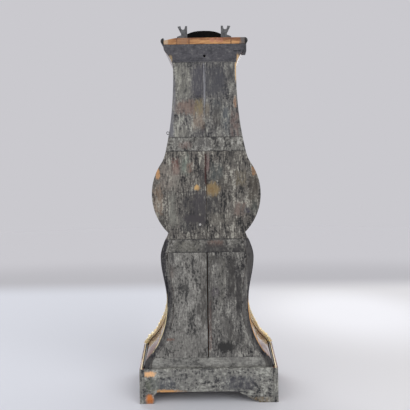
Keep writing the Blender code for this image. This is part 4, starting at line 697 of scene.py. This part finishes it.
# Trunk
# Bent veneered sides with the back boards and rails nailed over their edges. The boards meet on
# the middle line, where the paint has opened, and the bulge has its scrapes and bare patches.
for node in ("trunk_side_left", "trunk_side_right"):
    eased(node, "case", upright_veneer, 0.001, 25)
NECK_TONES = ((50, 50, 53), (111, 109, 106), (166, 165, 156))
neck_right_paint = painted(
    "neck_board_right_paint",
    NECK_TONES,
    [
        ((0.090, 1.360), (0.034, 0.080), (134, 133, 124), 0.55),
        ((0.025, 1.363), (0.034, 0.074), (74, 73, 80), 0.93),
        ((0.068, 1.250), (0.064, 0.030), (126, 107, 98), 0.8),
        ((0.027, 1.246), (0.018, 0.036), (134, 124, 92), 0.75),
        ((0.030, 1.193), (0.026, 0.040), (138, 121, 106), 0.65),
        ((0.100, 1.137), (0.030, 0.020), (134, 132, 124), 0.6),
        ((0.136, 1.310), (0.012, 0.080), (114, 114, 119), 0.85),
        ((0.145, 1.170), (0.012, 0.080), (114, 114, 119), 0.85),
        ((0.021, 1.140), (0.026, 0.020), (68, 66, 70), 0.7),
        ((0.0025, 1.340), (0.002, 0.110), (160, 160, 166), 0.95),
    ],
    (7.9, 0.0, 0.3),
)
neck_left_paint = painted(
    "neck_board_left_paint",
    NECK_TONES,
    [
        ((-0.040, 1.362), (0.052, 0.074), (72, 72, 77), 0.88),
        ((-0.008, 1.235), (0.014, 0.030), (124, 115, 102), 0.65),
        ((-0.050, 1.250), (0.020, 0.034), (78, 80, 82), 0.7),
        ((-0.114, 1.395), (0.016, 0.050), (66, 66, 68), 0.8),
        ((-0.052, 1.206), (0.024, 0.045), (80, 77, 74), 0.7),
        ((-0.085, 1.201), (0.018, 0.070), (76, 82, 88), 0.65),
        ((-0.125, 1.177), (0.020, 0.060), (126, 108, 102), 0.6),
        ((-0.127, 1.270), (0.006, 0.022), (176, 138, 110), 0.75),
        ((-0.134, 1.405), (0.005, 0.045), (222, 186, 138), 0.95),
        ((-0.0025, 1.359), (0.0015, 0.090), (150, 150, 154), 0.6),
    ],
    (2.2, 0.0, 7.7),
)
bulge_right_paint = painted(
    "bulge_board_right_paint",
    ((40, 39, 40), (101, 97, 92), (168, 165, 154)),
    [
        ((0.130, 0.995), (0.016, 0.038), (110, 74, 68), 0.75),
        ((0.088, 1.008), (0.020, 0.046), (126, 136, 126), 0.6),
        ((0.070, 0.993), (0.014, 0.022), (116, 90, 80), 0.6),
        ((0.040, 0.810), (0.078, 0.090), (60, 59, 61), 0.75),
        ((0.092, 0.745), (0.020, 0.026), (56, 56, 58), 0.85),
        ((0.160, 0.955), (0.046, 0.056), (146, 137, 128), 0.6),
        ((0.014, 0.938), (0.016, 0.042), (66, 64, 64), 0.8),
        ((0.130, 0.940), (0.020, 0.030), (136, 132, 124), 0.6),
        ((0.132, 0.770), (0.028, 0.028), (130, 128, 120), 0.6),
        ((0.186, 0.768), (0.018, 0.040), (62, 60, 58), 0.7),
        ((0.028, 0.847), (0.034, 0.048), (70, 67, 70), 0.8),
        ((0.045, 0.776), (0.056, 0.018), (68, 65, 67), 0.95),
        ((0.145, 0.828), (0.018, 0.070), (132, 132, 124), 0.6),
        ((0.205, 0.858), (0.021, 0.062), (132, 112, 94), 0.6),
        ((0.204, 0.971), (0.008, 0.026), (198, 150, 102), 0.85),
        ((0.040, 0.909), (0.012, 0.012), (200, 162, 106), 0.9),
        ((0.028, 0.752), (0.005, 0.005), (190, 188, 184), 0.9),
        ((0.003, 0.986), (0.0035, 0.074), (66, 40, 38), 0.95),
    ],
    (5.5, 0.0, 3.8),
)
bulge_left_paint = painted(
    "bulge_board_left_paint",
    ((40, 40, 40), (101, 97, 92), (164, 161, 151)),
    [
        ((-0.008, 1.015), (0.008, 0.042), (126, 100, 98), 0.7),
        ((-0.043, 0.973), (0.030, 0.040), (72, 78, 78), 0.75),
        ((-0.080, 0.925), (0.034, 0.030), (70, 66, 62), 0.7),
        ((-0.020, 0.840), (0.034, 0.050), (60, 59, 60), 0.8),
        ((-0.120, 1.030), (0.028, 0.028), (70, 68, 66), 0.7),
        ((-0.200, 0.895), (0.022, 0.080), (74, 68, 61), 0.75),
        ((-0.148, 0.943), (0.022, 0.034), (122, 113, 95), 0.6),
        ((-0.142, 0.817), (0.027, 0.032), (126, 108, 100), 0.6),
        ((-0.173, 0.811), (0.012, 0.013), (60, 60, 72), 0.8),
        ((-0.205, 0.827), (0.016, 0.036), (70, 75, 72), 0.6),
        ((-0.204, 0.978), (0.011, 0.019), (156, 116, 80), 0.8),
        ((-0.064, 0.776), (0.056, 0.024), (114, 110, 102), 0.6),
        ((-0.026, 0.901), (0.032, 0.032), (136, 116, 82), 0.92),
        ((-0.022, 0.900), (0.012, 0.012), (120, 92, 58), 0.6),
        ((-0.001, 0.960), (0.0015, 0.120), (66, 42, 40), 0.9),
    ],
    (8.8, 0.0, 5.1),
)
eased("bulge_board_right", "case", bulge_right_paint)
eased("bulge_board_left", "case", bulge_left_paint)
eased("neck_board_right", "case", neck_right_paint)
eased("neck_board_left", "case", neck_left_paint)
head_paint = painted(
    "head_rail_paint",
    ((62, 62, 66), (80, 79, 84), (98, 97, 100)),
    [
        ((-0.140, 1.487), (0.016, 0.003), (40, 40, 44), 0.9),
        ((0.0, 1.448), (0.150, 0.004), (66, 66, 70), 0.5),
        ((0.0, 1.441), (0.140, 0.003), (122, 121, 118), 0.5),
        ((-0.143, 1.452), (0.006, 0.022), (222, 186, 138), 0.9),
        ((0.143, 1.452), (0.006, 0.022), (206, 176, 122), 0.8),
    ],
    (6.4, 0.0, 9.2),
    (0.5, 1.0, 1.0),
    0.25,
)
eased("head_rail", "case", head_paint)
eased("bed_mould_left", "case", head_paint)

front_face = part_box("trunk_door")[0][1]
BLACK_TONES = ((7, 7, 7), (11, 10, 10), (18, 16, 14))
front_veneer = veneered(
    "front_veneer", UPRIGHT, front_face + 0.006, BLACK_TONES, grit=0.0, matched=True
)
front = eased("trunk_front", "case", front_veneer, 0.001)
front.data.materials.append(brass)
for face in front.data.polygons:
    if face.center.y < front_face - 0.0003:
        face.material_index = 1  # the lugs that carry the dial's bezel
inlaid("trunk_front", "case")


# Top
# A thick softwood board, its back edge bare and broken along one corner, with an ebonised
# half-round cornice on three sides and a forked iron bracket screwed near each end.
def bare_wood(name, marks, deep, light):
    """Sawn softwood with its grain along the length."""
    material, tree, surface, place = new_finish(name)
    wood = grained(tree, place, ACROSS, (deep, light))
    coat = stained(tree, place, wood["Color"], marks)
    sawn = ease(tree, wood["Grain"], 0.3, 0.7, 0.6, 0.8)
    plug(tree, surface, {"Base Color": coat, "Roughness": sawn})
    relief(tree, surface, wood["Grain"], 0.0006, 0.5)
    return material


top_wood = bare_wood(
    "bare_top_wood",
    [
        ((0.090, 1.532), (0.026, 0.030), (150, 112, 84), 0.8),
        ((-0.050, 1.534), (0.030, 0.010), (184, 120, 100), 0.6),
        ((0.164, 1.532), (0.012, 0.030), (196, 176, 150), 0.7),
        ((-0.166, 1.532), (0.016, 0.030), (92, 90, 90), 0.95),
        ((0.117, 1.532), (0.003, 0.030), (96, 62, 44), 0.8),
        ((0.064, 1.532), (0.003, 0.030), (104, 70, 50), 0.8),
        ((-0.114, 1.532), (0.003, 0.030), (110, 72, 46), 0.8),
    ],
    (116, 65, 31),
    (212, 160, 107),
)
eased("top_board", "case", top_wood, 0.001)


def polished_black(name):
    """Ebonised pearwood: near black with a little brown where the polish has rubbed."""
    material, tree, surface, place = new_finish(name)
    wood = grained(tree, place, (0.2, 0.2, 1.0), BLACK_TONES[::2])
    rubbed = ease(tree, wood["Grain"], 0.3, 0.7, 0.26, 0.42)
    plug(tree, surface, {"Base Color": wood["Color"], "Roughness": rubbed})
    plug(tree, surface, {"Specular IOR Level": 0.3, "Coat Weight": 0.3, "Coat Roughness": 0.2})
    relief(tree, surface, wood["Grain"], 0.0002, 0.3)
    return material


ebonised = polished_black("ebonised")
eased("cornice", "case", ebonised, 0.0006)
eased("plinth_moulding", "case", ebonised, 0.0006)

iron = metal("painted_iron", (98, 99, 101), (74, 74, 76), 160.0, 0.55, 0.75, 0.25)
eased("fork_bracket_left", "case", iron, 0.0006)
eased("fork_bracket_right", "case", iron, 0.0006)
eased("ring_eye", "case", iron, 0.0, 60)


# Gilt corner mounts
# Cast bronze angles, chased and gilded, pinned down the front corners of the base. A rim runs
# along both edges, a string of husks hangs down the corner, and slanting ribs fill the front.
RIM_RADIUS = 0.0018
HUSK_LENGTH, HUSK_HALF, HUSK_STEP = 0.026, 0.0085, 0.020
HUSK_SMALLEST, HUSK_GROWTH = 0.65, 0.45  # from the top husk to the lowest
RIB_LENGTH, RIB_HALF, RIB_STEP = 0.021, 0.0034, 0.0085
RIB_PLACE, RIB_FLATNESS = 0.45, 0.55


def drop(name, half, length, lobes, finish):
    """A pattern that hangs down from the origin: a drop with lobes round it."""
    bpy.ops.object.select_all(action="DESELECT")
    bpy.ops.mesh.primitive_uv_sphere_add(segments=20, ring_count=12)
    pattern = bpy.context.object
    pattern.name = name
    for v in pattern.data.vertices:
        down = (1.0 - v.co.z) / 2
        turn = math.atan2(v.co.y, v.co.x)
        swell = half * math.sin(math.pi * down**0.75) ** 0.8 * (1.0 + 0.16 * math.cos(lobes * turn))
        v.co = (swell * math.cos(turn), swell * math.sin(turn), -length * down)
    bpy.ops.object.shade_smooth_by_angle(angle=math.radians(60))
    pattern.data.materials.append(finish)
    return pattern


def stance(place, up, out, size=(1.0, 1.0, 1.0)):
    """The matrix that sets a pattern at a place, upright along one direction and facing another."""
    up = up.normalized()
    out = (out - up * out.dot(up)).normalized()
    turn = Matrix((out.cross(up), out, up)).transposed().to_4x4()
    return Matrix.Translation(place) @ turn @ Matrix.Diagonal((*size, 1.0))


def settled():
    """Leaves the piece in hand where it is, but with no move, turn or scale of its own."""
    bpy.ops.object.transform_apply(location=True, rotation=True, scale=True)


def joined(pieces):
    bpy.ops.object.select_all(action="DESELECT")
    for piece in pieces:
        piece.select_set(True)
    bpy.context.view_layer.objects.active = pieces[0]
    bpy.ops.object.join()
    settled()
    return bpy.context.object


def strung(name, pattern, stances, body):
    """Copies of a pattern, each with its own mesh and in its own stance, joined to one piece."""
    copies = []
    for matrix in stances:
        copy = pattern.copy()
        copy.data = pattern.data.copy()
        bpy.context.collection.objects.link(copy)
        copy.matrix_world = matrix
        copies.append(copy)
    piece = joined(copies)
    piece.name = name
    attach(piece, body)


def paced(line, step):
    """Places down a line from its top, a step apart, each with the line's upward direction."""
    since = 0.0
    for upper, lower in zip(line[::-1], line[-2::-1]):
        run = (upper - lower).length
        while since < run:
            yield upper.lerp(lower, since / run), (upper - lower).normalized()
            since += step
        since -= run


husk = drop("husk_pattern", HUSK_HALF, HUSK_LENGTH, 5, gilt)
rib = drop("rib_pattern", RIB_HALF, RIB_LENGTH, 2, gilt)
for side, node in ((-1, "corner_mount_left"), (1, "corner_mount_right")):
    eased(node, "case", gilt, 0.0008, 25)
    levels = {}
    for v in frame["nodes"][node].data.vertices:
        levels.setdefault(round(v.co.z, 4), []).append(v.co)
    inner_rim, outer_rim, flat, corner = [], [], [], []
    for z in sorted(levels):
        front_y = min(place.y for place in levels[z])
        strip = [place for place in levels[z] if place.y < front_y + 0.0001]
        strip.sort(key=lambda place: side * place.x)
        flank_x = max(side * place.x for place in levels[z])
        flank = [place for place in levels[z] if side * place.x > flank_x - 0.0001]
        flank.sort(key=lambda place: place.y)
        inner_rim.append(strip[0])
        outer_rim.append(flank[-1] - Vector((0.0, RIM_RADIUS, 0.0)))
        flat.append(strip[0].lerp(strip[-1], RIB_PLACE))
        corner.append(strip[-1].lerp(flank[0], 0.5))
    bead(node + "_inner_rim", inner_rim, RIM_RADIUS, gilt)
    bead(node + "_outer_rim", outer_rim, RIM_RADIUS, gilt)
    stances = []
    for place, up in paced(corner, HUSK_STEP):
        size = HUSK_SMALLEST + HUSK_GROWTH * (corner[-1].z - place.z) / (corner[-1].z - corner[0].z)
        if place.z > corner[0].z + size * HUSK_LENGTH:
            stances.append(stance(place, up, Vector((side, -1.0, 0.0)), (size, size, size)))
    strung(node + "_husks", husk, stances, "case")
    stances = []
    for place, up in paced(flat, RIB_STEP):
        across = Vector((-side * up.z, 0.0, side * up.x))
        if corner[0].z + RIB_LENGTH < place.z < corner[-1].z - RIB_LENGTH / 2:
            slant = (up + across).normalized()
            middle = place + slant * RIB_LENGTH / 2
            size = (1.0, RIB_FLATNESS, 1.0)
            stances.append(stance(middle, slant, Vector((0.0, -1.0, 0.0)), size))
    strung(node + "_ribs", rib, stances, "case")
bpy.data.objects.remove(husk)
bpy.data.objects.remove(rib)


# Trunk door
# A veneered door with a lock and a glazed lunette, whose bezel is turned from gilt brass. It hangs
# on two brass butt hinges, each screwed to the door's face and to the front board beside it.
steel = metal("steel", (150, 152, 156), (106, 106, 110), 80.0, 0.22, 0.40)
eased("trunk_door", "door", matched_veneer, 0.001)
inlaid("trunk_door", "door")
eased("lunette_bezel", "door", gilt, 0.0004, 30)
HINGE_LEAVES = (
    ("hinge_upper_case", "case", 1),
    ("hinge_lower_case", "case", 1),
    ("hinge_upper_door", "door", -1),
    ("hinge_lower_door", "door", -1),
)  # each with its body and the side of the pin it lies on
for node, body, toward in HINGE_LEAVES:
    eased(node, body, brass, 0.0002)

# Three countersunk brass screws hold each leaf, their slots left as they came
SCREW_HALF, SCREW_HEAD, SCREW_SLOT = 0.0023, 0.0006, 0.0006
SCREW_INSET, SCREW_SPACE = 0.0068, 0.0165
SLOT_TURN, SLOT_SPREAD = 35, 50  # in degrees, from one screw to the next
bpy.ops.object.select_all(action="DESELECT")
bpy.ops.mesh.primitive_cube_add(size=1.0, location=(0.0, SCREW_HEAD, 0.0))
slot_cutter = bpy.context.object
slot_cutter.scale = (SCREW_SLOT, SCREW_HEAD, 3 * SCREW_HALF)
bpy.ops.mesh.primitive_cylinder_add(
    vertices=24,
    radius=SCREW_HALF,
    depth=2 * SCREW_HEAD,
    rotation=(math.pi / 2, 0.0, 0.0),
)
screw = bpy.context.object
settled()
slot_cut = screw.modifiers.new("slot", "BOOLEAN")
slot_cut.object = slot_cutter
bpy.ops.object.modifier_apply(modifier=slot_cut.name)
bpy.data.objects.remove(slot_cutter)
screw.data.materials.append(brass)
for node, body, toward in HINGE_LEAVES:
    low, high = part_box(node)
    far = (high if toward > 0 else low)[0]
    leaf = [v.co.y for v in frame["nodes"][node].data.vertices if abs(v.co.x - far) < 0.0003]
    x, y, z = far - toward * SCREW_INSET, min(leaf) + SCREW_HEAD / 2, (low[2] + high[2]) / 2
    stances = []
    for row in (-1, 0, 1):
        angle = math.radians(SLOT_TURN + SLOT_SPREAD * row * toward)
        slot_line = Vector((math.sin(angle), 0.0, math.cos(angle)))
        place = (x, y, z + row * SCREW_SPACE)
        stances.append(stance(place, slot_line, Vector((0.0, -1.0, 0.0))))
    strung(node + "_screws", screw, stances, body)
bpy.data.objects.remove(screw)
eased("door_key", "key", steel, 0.0003, 40)

# The oval key plate, a gilt ring sunk round the keyhole and drawn out into a drop below
PLATE_RADIUS, PLATE_BAND = 0.0068, 0.0022
PLATE_LIFT, PLATE_DROP = 0.7, 0.9  # how flat it is, and how far it is drawn out
joint_places = {joint["name"]: joint["pos_m"] for joint in frame["joints"]}
key_place = (joint_places["key_turn"][0], front_face, joint_places["key_turn"][2])


def turned_ring(name, place, radius, band, around, section):
    """A round ring that faces the front, with so many corners round it and in its section."""
    bpy.ops.object.select_all(action="DESELECT")
    bpy.ops.mesh.primitive_torus_add(
        location=place,
        rotation=(math.pi / 2, 0.0, 0.0),
        major_radius=radius,
        minor_radius=band,
        major_segments=around,
        minor_segments=section,
    )
    ring = bpy.context.object
    ring.name = name
    settled()
    return ring


key_plate = turned_ring("key_plate", key_place, PLATE_RADIUS, PLATE_BAND, 48, 14)
for v in key_plate.data.vertices:
    below = key_place[2] - v.co.z
    v.co.y = front_face - max(0.0, front_face - v.co.y) * PLATE_LIFT
    if below > 0.0:
        v.co.z -= PLATE_DROP * below * (below / PLATE_RADIUS)
bpy.ops.object.shade_smooth_by_angle(angle=math.radians(60))
key_plate.data.materials.append(gilt)
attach(key_plate, "door")


def clear_glass(name):
    """Old blown glass, clear with a slight waviness."""
    material, tree, surface, place = new_finish(name)
    wave = noise(tree, place, 28, 2, 0.4)
    sockets = {"Base Color": (0.97, 0.99, 0.98, 1.0), "Transmission Weight": 1.0, "IOR": 1.3}
    plug(tree, surface, sockets | {"Roughness": ease(tree, wave, 0.3, 0.7, 0.01, 0.035)})
    relief(tree, surface, wave, 0.0004, 0.15)
    return material


glass = clear_glass("old_glass")
eased("lunette_glass", "door", glass, 0.0)


# Dial
# A copper plate with white enamel fired on its face, behind a glazed bezel of gilt brass that
# swings on its own hinge. The two hands are sawn from steel, blued, and carried by the movement.
eased("dial_bezel", "bezel", gilt, 0.0004, 30)
eased("dial_glass", "bezel", glass, 0.0)
enamel = metal("white_enamel", (250, 248, 243), (243, 239, 230), 26.0, 0.16, 0.24, 0.0)
blued = metal("blued_steel", (34, 40, 74), (24, 26, 40), 70.0, 0.24, 0.40)
plate = eased("dial", "case", enamel, 0.0006)
plate.data.materials.append(metal("dial_back", (88, 66, 52), (60, 50, 44), 40.0, 0.55, 0.75, 0.2))
for face in plate.data.polygons:
    if face.normal.y > -0.5:
        face.material_index = 1  # bare copper behind and round the edge

# Painted on the enamel: twelve numerals of thick and thin strokes, upright to the middle, a
# minute track of two rings and sixty bars, and a brass rim set in the winding hole
NUMERAL_HEIGHT = 0.0165
NUMERAL_CIRCLE = 0.0725
TRACK_INNER, TRACK_OUTER, TRACK_LINE = 0.0845, 0.0885, 0.0004
HOUR_BAR, MINUTE_BAR = 0.0011, 0.0004
RIM_CIRCLE, RIM_BAND = 0.0060, 0.0009
PAINT = 0.0002
dial_low, dial_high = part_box("dial")
dial_face = dial_low[1]
black_paint = metal("dial_black", (20, 20, 24), (34, 33, 36), 90.0, 0.30, 0.45, 0.0)


def stroke(across, up, length, width, lean):
    """One flat stroke on the dial, at a place from its middle, turned by an angle."""
    bpy.ops.mesh.primitive_plane_add(size=1.0, rotation=(math.pi / 2, 0.0, 0.0))
    bar = bpy.context.object
    bar.scale = (width, length, 1.0)
    settled()
    bar.rotation_euler = (0.0, lean, 0.0)
    bar.location = (across, 0.0, up)
    settled()
    return bar


THICK, THIN = 0.0020, 0.0006
SERIF, SERIF_WIDTH = 0.0006, 0.0036
LETTER_WIDTHS = {"I": 0.0042, "V": 0.0098, "X": 0.0098}
X_SPREAD = 0.0064  # between the ends of a stroke of an X
X_FOOT, V_FOOT, V_STROKE = 0.0032, 0.0048, 0.0026  # from the middle of the letter
SLANT = math.atan2(X_SPREAD, NUMERAL_HEIGHT)
V_SLANT = SLANT / 1.4


def letter(kind, across):
    """The strokes of one letter: thick ones, thin ones and the hairline serifs."""
    half, middle = NUMERAL_HEIGHT / 2, NUMERAL_CIRCLE
    long = math.hypot(X_SPREAD, NUMERAL_HEIGHT)
    if kind == "I":
        bars = [stroke(across, middle, NUMERAL_HEIGHT, THICK, 0.0)]
        feet = [(across, half), (across, -half)]
    elif kind == "V":
        bars = [stroke(across - V_STROKE, middle, long, THICK, -V_SLANT)]
        bars.append(stroke(across + V_STROKE, middle, long, THIN, V_SLANT))
        feet = [(across - V_FOOT, half), (across + V_FOOT, half)]
    else:
        bars = [stroke(across, middle, long, THICK, -SLANT)]
        bars.append(stroke(across, middle, long, THIN, SLANT))
        feet = [(across + side * X_FOOT, up) for side in (-1, 1) for up in (half, -half)]
    for foot, up in feet:
        bars.append(stroke(foot, middle + up, SERIF, SERIF_WIDTH, 0.0))
    return bars


marks = []
for hour, numeral in enumerate("XII I II III IIII V VI VII VIII IX X XI".split()):
    bars, reach = [], -sum(LETTER_WIDTHS[kind] for kind in numeral) / 2
    for kind in numeral:
        bars += letter(kind, reach + LETTER_WIDTHS[kind] / 2)
        reach += LETTER_WIDTHS[kind]
    figure = joined(bars)
    figure.rotation_euler = (0.0, math.tau * hour / 12, 0.0)
    settled()
    marks.append(figure)
for minute in range(60):
    wide = HOUR_BAR if minute % 5 == 0 else MINUTE_BAR
    tick = stroke(0.0, (TRACK_INNER + TRACK_OUTER) / 2, TRACK_OUTER - TRACK_INNER, wide, 0.0)
    tick.rotation_euler = (0.0, math.tau * minute / 60, 0.0)
    settled()
    marks.append(tick)
for ring in (TRACK_INNER, TRACK_OUTER):
    bpy.ops.mesh.primitive_circle_add(vertices=120, radius=ring, rotation=(math.pi / 2, 0.0, 0.0))
    line = bpy.context.object
    bpy.ops.object.mode_set(mode="EDIT")
    bpy.ops.mesh.select_all(action="SELECT")
    bpy.ops.mesh.extrude_region_move()
    bpy.ops.transform.resize(value=[(ring + TRACK_LINE) / ring] * 3)
    bpy.ops.object.mode_set(mode="OBJECT")
    settled()
    marks.append(line)
numerals = joined(marks)
numerals.name = "dial_numerals"
numerals.location = (0.0, dial_face - PAINT, (dial_low[2] + dial_high[2]) / 2)
settled()
numerals.data.materials.clear()
numerals.data.materials.append(black_paint)
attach(numerals, "case")
rim_place = (joint_places["winding_turn"][0], dial_face, joint_places["winding_turn"][2])
winding_rim = turned_ring("winding_rim", rim_place, RIM_CIRCLE, RIM_BAND, 36, 10)
bpy.ops.object.shade_smooth_by_angle(angle=math.radians(60))
winding_rim.data.materials.append(brass)
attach(winding_rim, "case")

eased("minute_hand", "minute", blued, 0.0003)
eased("hour_hand", "hour", blued, 0.0003)


# Movement
# Wheels cut from brass, on arbors that turn in two brass plates held apart by pillars, with a
# steel spring in the barrel. All of it stands on a wooden seat board between the trunk sides.
eased("seat_board", "case", bare_wood("seat_wood", [], (120, 84, 52), (164, 122, 80)))
for node, body in (
    ("front_plate", "case"),
    ("back_plate", "case"),
    ("suspension_cock", "case"),
    ("barrel", "spring_barrel"),
    ("centre_wheel", "centre"),
    ("third_wheel", "third"),
    ("escape_wheel", "escape"),
    ("cannon_pinion", "minute"),
    ("minute_wheel", "minute_work"),
    ("hour_wheel", "hour"),
):
    eased(node, body, brass, 0.0, 30)
for node, body in (
    ("mainspring", "spring_barrel"),
    ("winding_arbor", "winding"),
    ("pallets", "anchor"),
):
    eased(node, body, steel, 0.0, 30)


# Pendulum
# A steel rod that hangs from a thin strip of spring steel in a brass cock. The lens-shaped brass
# bob slides on the rod and rests on a nut, which sets how fast the clock goes.
for node, finish in (
    ("suspension_spring", steel),
    ("pendulum_rod", steel),
    ("pendulum_bob", brass),
):
    eased(node, "pendulum", finish, 0.0, 30)
eased("rating_nut", "nut", brass, 0.0004, 30)


low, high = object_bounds()
